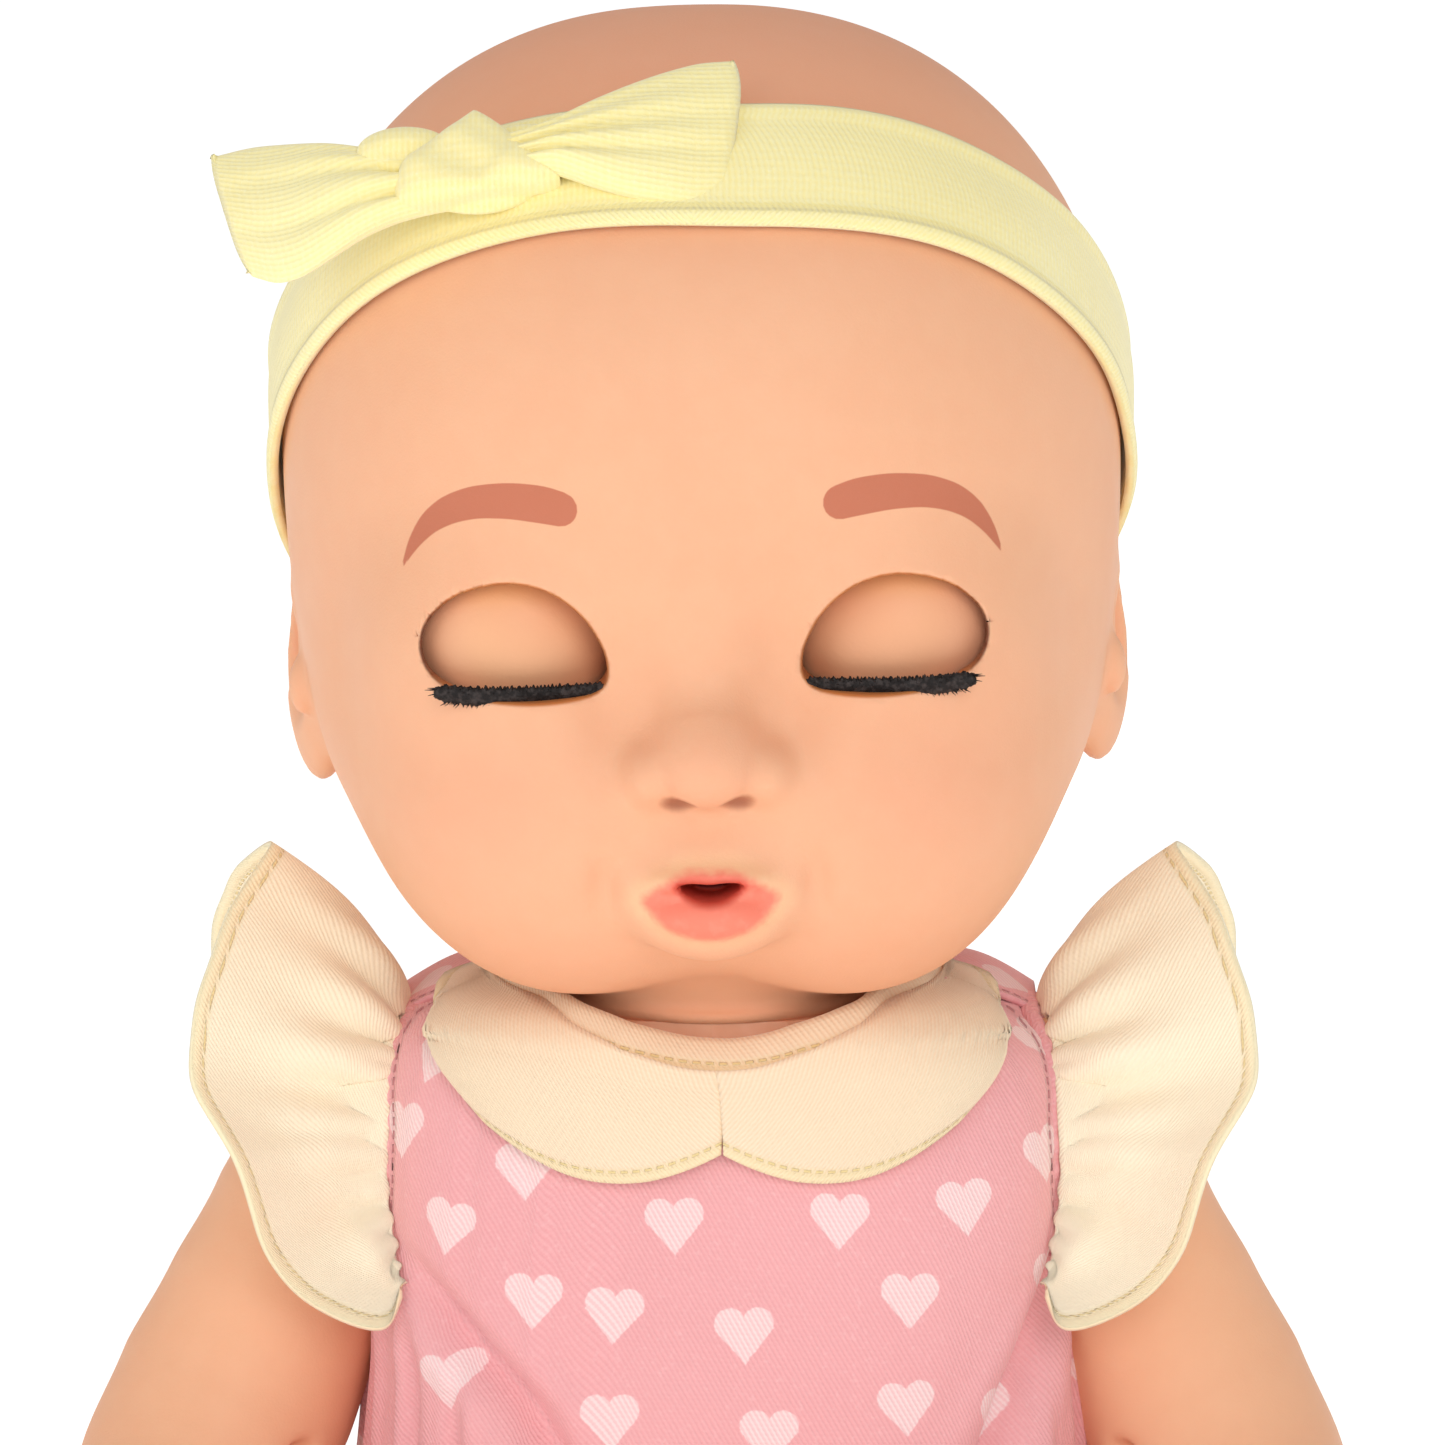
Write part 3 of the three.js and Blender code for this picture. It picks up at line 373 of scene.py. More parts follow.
class Look:
    """a material made of shader nodes"""

    def __init__(self, name, **sockets):
        self.material = bpy.data.materials.new(name)
        self.material.use_nodes = True
        self.tree = self.material.node_tree
        self.shader = self.tree.nodes["Principled BSDF"]
        for key, value in sockets.items():
            self.shader.inputs[key.replace("_", " ")].default_value = value

    def put(self, socket, value):
        if isinstance(value, bpy.types.NodeSocket):
            self.tree.links.new(value, socket)
        elif isinstance(value, tuple) and len(value) == 4 and socket.type == "VECTOR":
            socket.default_value = value[:3]
        else:
            socket.default_value = value

    def node(self, kind, inputs=None, **settings):
        made = self.tree.nodes.new("ShaderNode" + kind)
        for key, value in settings.items():
            setattr(made, key, value)
        for key, value in (inputs or {}).items():
            self.put(made.inputs[key], value)
        return made

    def math(self, operation, a, b=0.0, c=0.0):
        return self.node("Math", {0: a, 1: b, 2: c}, operation=operation).outputs[0]

    def mix(self, share, a, b, blend="MIX"):
        made = self.node("Mix", {0: share, 6: a, 7: b}, data_type="RGBA", blend_type=blend)
        return made.outputs[2]

    def place(self):
        return self.node("TexCoord").outputs["Object"]

    def uv(self, name):
        return self.node("UVMap", uv_map=name).outputs[0]

    def value(self, name):
        return self.node("Attribute", attribute_name=name).outputs["Fac"]

    def parts(self, vector):
        return self.node("SeparateXYZ", {0: vector}).outputs

    def noise(self, scale, detail=2.0, where=None, roughness=0.5):
        made = self.node("TexNoise", {"Scale": scale, "Detail": detail, "Roughness": roughness})
        self.tree.links.new(where or self.place(), made.inputs["Vector"])
        return made.outputs[0]

    def step(self, value, low, high, to_low=0.0, to_high=1.0):
        made = self.node("MapRange", {0: value, 1: low, 2: high, 3: to_low, 4: to_high},
                         interpolation_type="SMOOTHSTEP")
        return made.outputs[0]

    def bumps(self, *pairs):
        """pairs of height and depth in metres"""
        normal = None
        for height, depth in pairs:
            made = self.node("Bump", {"Height": height, "Distance": depth, "Strength": 1.0})
            if normal is not None:
                self.tree.links.new(normal, made.inputs["Normal"])
            normal = made.outputs[0]
        self.tree.links.new(normal, self.shader.inputs["Normal"])

    def colour(self, value):
        self.put(self.shader.inputs["Base Color"], value)

    def rough(self, value):
        self.put(self.shader.inputs["Roughness"], value)


SKIN = rgb(240, 181, 143)
SKIN_WARM = rgb(231, 160, 122)
SKIN_PALE = rgb(247, 200, 162)


def skin_base(look):
    """soft mottling of the vinyl, a little warmer in places"""
    broad = look.step(look.noise(22, 2), 0.35, 0.7)
    fine = look.step(look.noise(260, 3), 0.3, 0.75)
    tone = look.mix(look.math("MULTIPLY", broad, 0.22), SKIN, SKIN_WARM)
    return look.mix(look.math("MULTIPLY", fine, 0.10), tone, SKIN_PALE)


def skin_finish(look):
    grain = look.noise(2600, 2)
    broad = look.noise(90, 2)
    look.bumps((grain, 0.00003), (broad, 0.00006))
    look.rough(look.step(look.noise(60, 2), 0.3, 0.7, 0.5, 0.6))


def vinyl_look(name):
    look = Look(name, Subsurface_Weight=0.12, Subsurface_Scale=0.003, Specular_IOR_Level=0.32)
    look.shader.inputs["Subsurface Radius"].default_value = (1.0, 0.45, 0.28)
    look.colour(skin_base(look))
    skin_finish(look)
    return look.material


def head_look():
    look = Look("head_vinyl", Subsurface_Weight=0.12, Subsurface_Scale=0.003,
                Specular_IOR_Level=0.32)
    look.shader.inputs["Subsurface Radius"].default_value = (1.0, 0.45, 0.28)
    tone = skin_base(look)
    height = look.parts(look.place())[2]
    # painted shade: the top of the head is darkened, and so are the chin and neck below the mouth, for
    # light falling from the front and a little above
    tone = look.mix(look.step(height, 0.196, 0.228, 0, 0.55), tone, rgb(229, 152, 116))
    tone = look.mix(look.step(height, 0.128, 0.106, 0, 0.35), tone, rgb(222, 150, 110))
    blush = look.value("blush")
    tone = look.mix(look.math("MULTIPLY", blush, 0.28), tone, rgb(242, 160, 128))
    # a paler ring round the mouth, then the painted lips
    lips = look.math("ADD", look.value("lips"), look.step(look.noise(900, 2), 0, 1, -0.25, 0.25))
    tone = look.mix(look.step(lips, -3.0, -0.4, 0, 0.5), tone, rgb(250, 206, 160))
    height_on_lip = look.step(height, 0.1262, 0.1285)
    paint = look.mix(height_on_lip, rgb(250, 136, 112), rgb(243, 126, 104))
    paint = look.mix(look.step(look.noise(500, 2), 0.45, 0.7, 0, 0.25), paint, rgb(255, 168, 145))
    paint = look.mix(look.step(look.value("hole"), -1.1, 0.0, 0, 0.75), paint, rgb(206, 66, 48))
    tone = look.mix(look.step(lips, -0.75, 0.85), tone, paint)
    tone = look.mix(look.step(look.value("hole"), 0.05, 0.5), tone, rgb(100, 16, 8))
    # eyebrows and the brown edge of the eye openings
    tone = look.mix(look.step(look.value("brow"), -0.09, 0.09), tone, rgb(198, 117, 88))
    rim = look.value("rim")
    edge = look.mix(look.value("corner"), rgb(196, 112, 42), rgb(96, 40, 18))
    tone = look.mix(look.step(rim, -0.5, -0.12, 0, 0.85), tone, edge)
    tone = look.mix(look.step(rim, -0.05, 0.25), tone, rgb(150, 84, 34))
    # painted shade in and around the nostrils
    tone = look.mix(look.step(look.value("nostril"), -0.9, 0.4, 0, 0.75), tone, rgb(150, 78, 52))
    look.colour(tone)
    skin_finish(look)
    return look.material


def lid_look():
    look = Look("eyelid_vinyl", Specular_IOR_Level=0.3)
    spots = look.step(look.noise(35, 2), 0.35, 0.7)
    tone = look.mix(spots, rgb(244, 184, 139), rgb(238, 174, 133))
    tone = look.mix(look.step(look.value("top"), 0.0, 1.0, 0, 0.5), tone, rgb(238, 176, 104))
    tone = look.mix(look.step(look.value("outer"), 0.0, 1.0, 0, 0.4), tone, rgb(234, 166, 134))
    look.colour(tone)
    look.bumps((look.noise(1800, 2), 0.00003))
    look.rough(look.step(look.noise(80, 2), 0.3, 0.7, 0.42, 0.52))
    return look.material


def threads(look, where, across, along, slant=0.0):
    """height of woven threads, from cloth coordinates in metres"""
    u, v, _ = look.parts(where)
    wobble = look.math("MULTIPLY", look.noise(900, 2), 0.5)
    a = look.math("ADD", look.math("MULTIPLY", u, 2 * math.pi / across), wobble)
    b = look.math("ADD", look.math("MULTIPLY", v, 2 * math.pi / along), wobble)
    a = look.math("ADD", a, look.math("MULTIPLY", b, slant))
    return look.math("SINE", a), look.math("SINE", b)


def twill_height(look, where):
    one, two = threads(look, where, 0.00068, 0.0006, 0.5)
    return look.math("ADD", look.math("MULTIPLY", one, 0.6), look.math("MULTIPLY", two, 0.18))


def stitched(look, tone, dark, height):
    """a line of machine stitches where the attribute seam is near zero"""
    away = look.math("ABSOLUTE", look.value("seam"))
    dashes = look.step(look.math("SINE", look.math("MULTIPLY", look.value("run"), 4.2)), -0.5, -0.1)
    on_line = look.step(away, 0.24, 0.12)
    thread = look.math("MULTIPLY", on_line, dashes)
    # painted shade: the colour is darkened along the groove beside the stitches, on top of the groove's
    # bump
    groove = look.step(away, 0.75, 0.15)
    tone = look.mix(look.math("MULTIPLY", groove, 0.28), tone, dark)
    tone = look.mix(look.math("MULTIPLY", thread, 0.8), tone, height)
    return tone, thread, groove


def pink_look(name="pink_hearts", printed=True, seams=True):
    look = Look(name, Sheen_Weight=0.25, Sheen_Roughness=0.5, Specular_IOR_Level=0.15)
    where = look.uv("weave")
    height = twill_height(look, where)
    shade = look.step(look.noise(24, 2), 0.3, 0.75)
    tone = look.mix(look.math("MULTIPLY", shade, 0.4), rgb(240, 172, 175), rgb(232, 158, 163))
    tone = look.mix(look.step(height, -0.7, 0.7, 0, 0.35), tone, rgb(250, 196, 197))
    flecks = look.step(look.noise(1500, 2), 0.55, 0.75, 0, 0.25)
    tone = look.mix(flecks, tone, rgb(250, 205, 205))
    if printed:
        u, v, _ = look.parts(look.uv("heart"))
        u = look.math("ABSOLUTE", u)
        # two round lobes above a point
        lobe = look.math("SQRT", look.math("ADD",
                         look.math("POWER", look.math("SUBTRACT", u, 0.47), 2.0),
                         look.math("POWER", look.math("SUBTRACT", v, 0.36), 2.0)))
        lobe = look.math("SUBTRACT", 0.53, lobe)
        # below the lobes the sides run straight down to the point
        side = look.math("MULTIPLY", look.math("ADD", v, 1.02), 0.84)
        side = look.math("SUBTRACT", side, u)
        side = look.math("MULTIPLY", side, 0.72)
        cap = look.math("SUBTRACT", 0.42, v)
        below = look.math("MINIMUM", side, cap)
        below = look.math("MINIMUM", below, look.math("SUBTRACT", 0.98, u))
        shape = look.math("MAXIMUM", lobe, below)
        ragged = look.math("MULTIPLY", look.math("SUBTRACT", look.noise(1700, 2), 0.5), 0.10)
        ink = look.step(look.math("ADD", shape, ragged), -0.035, 0.035)
        paint = look.mix(look.step(height, -0.6, 0.6), rgb(246, 206, 207), rgb(252, 226, 225))
        tone = look.mix(look.math("MULTIPLY", ink, 0.94), tone, paint)
    pairs = [(height, 0.00005), (look.noise(3200, 2), 0.00004), (look.noise(160, 3), 0.0003)]
    if seams:
        # the first colour is the groove's painted shade, the second the thread
        tone, thread, groove = stitched(look, tone, rgb(206, 124, 130), rgb(190, 104, 112))
        pairs += [(look.math("SUBTRACT", thread, groove), 0.00025)]
    look.colour(tone)
    look.rough(look.step(look.noise(400, 2), 0.3, 0.7, 0.82, 0.95))
    look.bumps(*pairs)
    return look.material


def cream_look(name, light, dark):
    look = Look(name, Sheen_Weight=0.3, Sheen_Roughness=0.5, Specular_IOR_Level=0.15)
    height = twill_height(look, look.uv("weave"))
    tone = look.mix(look.step(look.noise(30, 2), 0.3, 0.7, 0, 0.5), light, dark)
    tone = look.mix(look.step(height, -0.7, 0.7, 0, 0.35), tone, rgb(255, 246, 224))
    # the first colour is the groove's painted shade, the second the thread
    tone, thread, groove = stitched(look, tone, rgb(240, 218, 160), rgb(236, 214, 150))
    # outside the stitching the turned edge shows a little yellower
    tone = look.mix(look.step(look.value("seam"), 0.0, -0.5, 0, 0.4), tone, rgb(248, 230, 172))
    look.colour(tone)
    look.rough(look.step(look.noise(400, 2), 0.3, 0.7, 0.85, 0.97))
    look.bumps((height, 0.00004), (look.noise(2600, 3), 0.00005),
               (look.math("SUBTRACT", thread, groove), 0.00012), (look.noise(140, 3), 0.0003))
    return look.material


def knit_look():
    look = Look("yellow_knit", Sheen_Weight=0.45, Sheen_Roughness=0.55, Specular_IOR_Level=0.12)
    where = look.uv("weave")
    ribs, courses = threads(look, where, 0.00075, 0.0011)
    height = look.math("ADD", look.math("MULTIPLY", ribs, 0.5), look.math("MULTIPLY", courses, 0.25))
    fuzz = look.noise(2400, 4, roughness=0.7)
    tone = look.mix(look.step(look.noise(26, 2), 0.3, 0.7), rgb(252, 240, 174), rgb(250, 234, 158))
    tone = look.mix(look.step(height, -0.8, 0.8, 0, 0.35), tone, rgb(255, 251, 210))
    tone = look.mix(look.step(fuzz, 0.5, 0.75, 0, 0.35), tone, rgb(255, 253, 228))
    groove = look.step(look.math("ABSOLUTE", look.value("seam")), 0.75, 0.1)
    # painted shade: the colour is darkened along the hem's groove, on top of its bump
    tone = look.mix(look.math("MULTIPLY", groove, 0.4), tone, rgb(238, 218, 134))
    look.colour(tone)
    look.rough(look.step(fuzz, 0.3, 0.7, 0.88, 0.98))
    look.bumps((height, 0.00005), (fuzz, 0.00009), (groove, -0.0003), (look.noise(120, 3), 0.0003))
    return look.material


def plain_look(name, colour, other, rough=0.5, metallic=0.0, grain=900.0, depth=0.00003):
    look = Look(name, Metallic=metallic)
    look.colour(look.mix(look.step(look.noise(grain / 6, 3), 0.35, 0.7), colour, other))
    look.rough(look.step(look.noise(grain / 3, 2), 0.3, 0.7, rough - 0.06, rough + 0.08))
    look.bumps((look.noise(grain, 2), depth))
    return look.material


def iris_look():
    look = Look("iris_brown", Roughness=0.12, Coat_Weight=1.0, Coat_Roughness=0.03)
    away = look.value("away")
    spokes = look.node("TexNoise", {"Scale": 26.0, "Detail": 3.0})
    turned = look.node("CombineXYZ", {0: look.value("turn"), 1: look.math("MULTIPLY", away, 0.15)})
    look.tree.links.new(turned.outputs[0], spokes.inputs["Vector"])
    tone = look.mix(look.step(spokes.outputs[0], 0.35, 0.7), rgb(70, 38, 18), rgb(138, 88, 46))
    tone = look.mix(look.step(away, 0.75, 0.97), tone, rgb(32, 17, 10))
    tone = look.mix(look.step(away, 0.42, 0.36), tone, rgb(8, 6, 5))
    look.colour(tone)
    look.bumps((spokes.outputs[0], 0.00005))
    return look.material


def eyeball_look():
    look = Look("eyeball_white", Roughness=0.14, Coat_Weight=0.8, Coat_Roughness=0.04)
    veins = look.step(look.noise(420, 5, roughness=0.7), 0.56, 0.72, 0, 0.10)
    look.colour(look.mix(veins, rgb(244, 242, 237), rgb(214, 160, 150)))
    look.bumps((look.noise(300, 2), 0.00002))
    return look.material


def lash_look():
    look = Look("lash_black", Specular_IOR_Level=0.3)
    look.colour(look.mix(look.step(look.noise(1400, 3), 0.4, 0.7), rgb(26, 20, 19), rgb(62, 54, 52)))
    look.rough(look.step(look.noise(600, 2), 0.3, 0.7, 0.5, 0.75))
    look.bumps((look.noise(3000, 2), 0.0002))
    return look.material


looks = {
    "vinyl_skin": vinyl_look("limb_vinyl"),
    "head": head_look(),
    "eyelid_skin": lid_look(),
    "eyeball_white": eyeball_look(),
    "iris_brown": iris_look(),
    "lash_black": lash_look(),
    "pink_hearts": pink_look(),
    # one cream cotton in two copies: this lighter one on the sleeves is painted light, as they face
    # sideways, and the darker copy on the collar and binding is painted shade, as they face the lamps
    "cream_cotton": cream_look("cream_cotton", rgb(255, 245, 216), rgb(255, 240, 208)),
    "collar_cotton_shaded": cream_look("collar_cotton_shaded", rgb(244, 221, 189), rgb(240, 214, 179)),
    "yellow_knit": knit_look(),
    "body_plastic": plain_look("body_plastic", rgb(236, 178, 142), rgb(228, 166, 130), 0.5),
    "grey_plastic": plain_look("grey_plastic", rgb(196, 198, 202), rgb(184, 186, 190), 0.45),
    "gear_white": plain_look("gear_white", rgb(240, 240, 234), rgb(228, 228, 220), 0.4),
    "steel": plain_look("steel", rgb(168, 170, 174), rgb(140, 142, 148), 0.32, 1.0, 1600.0),
    "motor_can": plain_look("motor_can", rgb(190, 192, 196), rgb(170, 172, 178), 0.28, 1.0, 1600.0),
    "mouth_rubber": plain_look("mouth_rubber", rgb(112, 20, 12), rgb(88, 12, 8), 0.55),
    "black_plastic": plain_look("black_plastic", rgb(30, 30, 32), rgb(20, 20, 22), 0.5),
    "circuit_green": plain_look("circuit_green", rgb(36, 96, 58), rgb(28, 80, 50), 0.4),
    "battery_foil": plain_look("battery_foil", rgb(204, 176, 108), rgb(188, 158, 92), 0.35, 1.0),
}

slot_of = {row["node"]: row["material_slot"] for row in frame["record"]["subparts"]}
for node_name, node in frame["nodes"].items():
    node.data.materials.clear()
    node.data.materials.append(looks[slot_of[node_name]])


def settle(thing, body, slot, *nodes):
    """the piece moves with a body and stands for CAD nodes; slot is not used"""
    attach(thing, body)
    if nodes:
        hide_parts(*nodes)
    return thing

# ----------------------------------------------------------------------- head

# [centre, half axes], as in the CAD head
HEAD_LOBES = [
    [(0, 11, 173), (52, 55.5, 54)], [(0, 6, 155), (51, 49, 40)],
    [(12, 8, 180), (38, 48, 43.5)], [(-12, 8, 180), (38, 48, 43.5)],
    [(0, -3, 140.3), (47.5, 42, 32.6)],
    [(17, -20, 134.5), (24, 25, 26.2)], [(-17, -20, 134.5), (24, 25, 26.2)],
]
NECK_RADIUS = 21.5
NECK_BASE = 104.1
EYE = (23.2, -23.5, 155.2)
SOCKET = 15.9
RIM = 17.5
LID = 15.3
# the edge of the open eyelids, outwards and upwards from the middle of the opening
EYE_MIDDLE = 157.2
EYE_EDGE = rounded([
    (11.3, -0.9), (10.6, 1.6), (8.9, 3.7), (6.6, 5.4), (3.2, 6.6), (-0.2, 7.0), (-3.5, 6.4),
    (-6.4, 4.9), (-8.9, 2.4), (-10.8, -1.2), (-11.3, -3.8), (-10.9, -5.5), (-9.2, -6.7),
    (-4.9, -7.2), (0, -7.3), (5.4, -6.7), (9.2, -5.0), (10.8, -3.2),
], 3)
LIP_EDGE = rounded([
    (-8.5, 125.8), (-7.2, 127.0), (-5.3, 128.5), (-3.2, 129.5), (-1.4, 129.75), (0, 129.6),
    (1.4, 129.75), (3.2, 129.5), (5.3, 128.5), (7.2, 127.0), (8.5, 125.8), (7.4, 124.2),
    (5.2, 122.3), (2.4, 121.2), (0, 120.9), (-2.4, 121.2), (-5.2, 122.3), (-7.4, 124.2),
], 4)
MOUTH_EDGE = rounded([
    (-4.0, 128.0), (-2, 128.2), (0, 128.05), (2, 128.2), (4.0, 128.0), (3.4, 127.0),
    (1.8, 126.1), (0, 125.8), (-1.8, 126.1), (-3.4, 127.0),
], 3)
# along each eyebrow from its outer tip: [outwards, height, half thickness]
BROW = [
    (36.6, 165.4, 0.12), (35.2, 168.3, 0.7), (33.2, 171.0, 1.25), (30.6, 172.9, 1.7),
    (27.3, 174.1, 2.0), (23.1, 174.5, 2.25), (19.2, 174.2, 2.35), (17.0, 173.7, 2.15),
]
EAR_TURN = np.array(Matrix.Rotation(math.radians(-20), 3, "Z") @ Matrix.Rotation(
    math.radians(8), 3, "X"))


def skull(p):
    d = None
    for centre, half in HEAD_LOBES:
        lobe = ellipsoid(p, centre, half)
        d = lobe if d is None else smooth_union(d, lobe, 8)
    return d


def ear_turn(side):
    mirror = np.diag([side, 1, 1])
    return mirror @ EAR_TURN @ mirror


def head_field(p):
    d = skull(p)
    x, y, z = p[:, 0], p[:, 1], p[:, 2]
    neck = smooth_cut(np.hypot(x, y) - NECK_RADIUS, z - NECK_BASE, 0.4)
    collar = np.hypot(np.maximum(np.hypot(x, y) - 21.7, 0), np.maximum(np.abs(z - 104.75), 0)) - 0.62
    neck = smooth_union(np.maximum(neck, z - 130), collar, 1.2)
    d = smooth_union(d, neck, 5)
    for side in (1, -1):
        eye = (side * EYE[0], EYE[1], EYE[2])
        rim = np.linalg.norm(p - np.array(eye, np.float32), axis=1)
        d = smooth_union(d, rim - RIM, 7)
        # the soft hollow between eye and nose, and the dimple beside the mouth
        d = smooth_cut(d, ellipsoid(p, (side * 10.5, -50.6, 152), (5, 8.4, 9)), 7)
        d = smooth_cut(d, near_only(p, (side * 12.4, -46, 126), 14, lambda q, s=side: ellipsoid(
            q, (s * 12.4, -47.0, 126), (1.6, 3.6, 3.8))), 3)

        def ear(q, s=side):
            turn = ear_turn(s)
            flap = ellipsoid(q, (s * 49.2, 8.5, 144.8), (4.0, 8.2, 15.2), turn)
            bowl = ellipsoid(q, (s * 53.4, 7.2, 146.5), (3.1, 4.4, 9.4), turn)
            groove = ellipsoid(q, (s * 53.2, 11.4, 150), (2.2, 1.1, 8.6), turn)
            flap = smooth_cut(flap, bowl, 1.6)
            flap = smooth_cut(flap, groove, 1.2)
            return smooth_union(flap, ellipsoid(q, (s * 51.2, 2.6, 143.4), (1.9, 2.2, 3.6)), 1.6)
        d = smooth_union(d, near_only(p, (side * 50, 8, 145), 22, ear), 2.2)

    def nose(q):
        tip = ellipsoid(q, (0, -46.1, 142.3), (6.3, 6.6, 5.3))
        bridge = cone(q, (0, -38.6, 154), (0, -43.4, 146), 3.6, 4.8)
        tip = smooth_union(tip, bridge, 5)
        for s in (1, -1):
            tip = smooth_union(tip, ellipsoid(q, (s * 6.7, -43.9, 140.9), (3.8, 5.2, 4.0)), 1.9)
            nostril = ellipsoid(q, (s * 3.7, -48.6, 137.3), (1.9, 2.8, 1.2))
            tip = smooth_cut(tip, nostril, 0.8)
        return tip
    d = smooth_union(d, near_only(p, (0, -44, 145), 24, nose), 2.3)
    d = smooth_cut(d, near_only(p, (0, -48, 133.6), 12, lambda q: ellipsoid(
        q, (0, -50.4, 133.2), (1.5, 3.6, 3.2))), 2.5)

    def mouth(q):
        muzzle = ellipsoid(q, (0, -41.6, 126.2), (11.4, 6.9, 9.2))
        lower = ellipsoid(q, (0, -46.5, 123.7), (6.9, 3.9, 3.1))
        upper = ellipsoid(q, (0, -46.6, 128.5), (3.6, 3.1, 1.7))
        for s in (1, -1):
            bow = ellipsoid(q, (s * 3.5, -46.2, 128.3), (4.1, 3.2, 1.7))
            upper = smooth_union(upper, bow, 1.3)
            corner = ellipsoid(q, (s * 7.2, -44.4, 126.3), (1.7, 2.2, 1.3))
            upper = smooth_union(upper, corner, 1.6)
        return smooth_union(muzzle, smooth_union(lower, upper, 1.0), 1.3)
    d = smooth_union(d, near_only(p, (0, -42, 126.3), 26, mouth), 3.6)
    for side in (1, -1):
        eye = np.array((side * EYE[0], EYE[1], EYE[2]), np.float32)
        d = smooth_cut(d, np.linalg.norm(p - eye, axis=1) - SOCKET, 0.3)

        def opening(q, s=side):
            edge = outline_distance((q[:, 0] * s - EYE[0]), q[:, 2] - EYE_MIDDLE, EYE_EDGE)
            return np.maximum(edge, q[:, 1] - EYE[1])
        d = smooth_cut(d, near_only(p, eye + np.array([0, -14, 2]), 20, opening), 0.7)
    hole = near_only(p, (0, -46, 127), 9, lambda q: np.maximum(
        outline_distance(q[:, 0], q[:, 2], MOUTH_EDGE), q[:, 1] + 41.9))
    return smooth_cut(d, hole, 0.7)


def brow_distance(p):
    """how far each point is inside an eyebrow, seen from the front"""
    brow = np.array(BROW)
    brow = np.stack([np.interp(np.linspace(0, len(BROW) - 1, 50), range(len(BROW)), brow[:, k])
                     for k in range(3)], 1)
    for _ in range(8):
        brow[1:-1] = (brow[:-2] + 2 * brow[1:-1] + brow[2:]) / 4
    best = np.full(len(p), -9.0)
    out = np.abs(p[:, 0])
    for (ax, az, ar), (bx, bz, br) in zip(brow, brow[1:]):
        dx, dz = bx - ax, bz - az
        share = np.clip(((out - ax) * dx + (p[:, 2] - az) * dz) / (dx * dx + dz * dz), 0, 1)
        gone = np.hypot(out - ax - share * dx, p[:, 2] - az - share * dz)
        best = np.maximum(best, ar + share * (br - ar) - gone)
    return np.where(p[:, 1] < 0, best, -9)


def make_head():
    points, quads, normals = surface(head_field, (-56, -56, 101), (56, 68, 230), GRID)
    x, y, z = points.T
    front = y < -30
    lips = np.where(front, -outline_distance(x, z, LIP_EDGE), -9)
    hole = np.where(front, -outline_distance(x, z, MOUTH_EDGE), -9)
    rim = np.where(y < -22, -outline_distance(np.abs(x) - EYE[0], z - EYE_MIDDLE, EYE_EDGE), -9)
    # the pocket behind the opening is dark too
    deep = np.linalg.norm(np.stack([np.abs(x) - EYE[0], y - EYE[1], z - EYE[2]], 1), axis=1)
    rim = np.where(deep < SOCKET + 0.12, 3.0, rim)
    # how far inside each nostril, where the skin takes painted shade
    nostril = np.maximum(*[-ellipsoid(points, (s * 3.7, -48.6, 137.5), (1.9, 2.8, 1.3))
                           for s in (1, -1)])
    cheek = np.exp(-((np.abs(x) - 27) ** 2 / 120 + (z - 137) ** 2 / 110)) * front
    nose_blush = np.exp(-(x**2 / 30 + (z - 142) ** 2 / 22)) * front
    corner = np.clip((np.abs(x) - EYE[0] - 7) / 4, 0, 1) * (z < 163) + 0.35 * (
        np.clip((EYE[0] - 8 - np.abs(x)) / 3, 0, 1))
    values = {"corner": corner, "lips": np.clip(lips, -9, 9), "hole": np.clip(hole, -9, 9),
              "rim": np.clip(rim, -9, 3), "brow": brow_distance(points), "nostril": nostril,
              "blush": np.clip(cheek + 0.8 * nose_blush, 0, 1)}
    head = make("head_vinyl", leaning(points), quads, looks["head"],
                lean_normals(normals, points), values)
    settle(head, "head", "vinyl_skin", "head_shell")


def eye_point(side, turn, up, radius):
    """turn is sideways from the front and up is above the horizontal, in radians"""
    return np.stack([side * EYE[0] + radius * np.sin(turn),
                     EYE[1] - radius * np.cos(turn) * np.cos(up),
                     EYE[2] + radius * np.cos(turn) * np.sin(up)], -1)


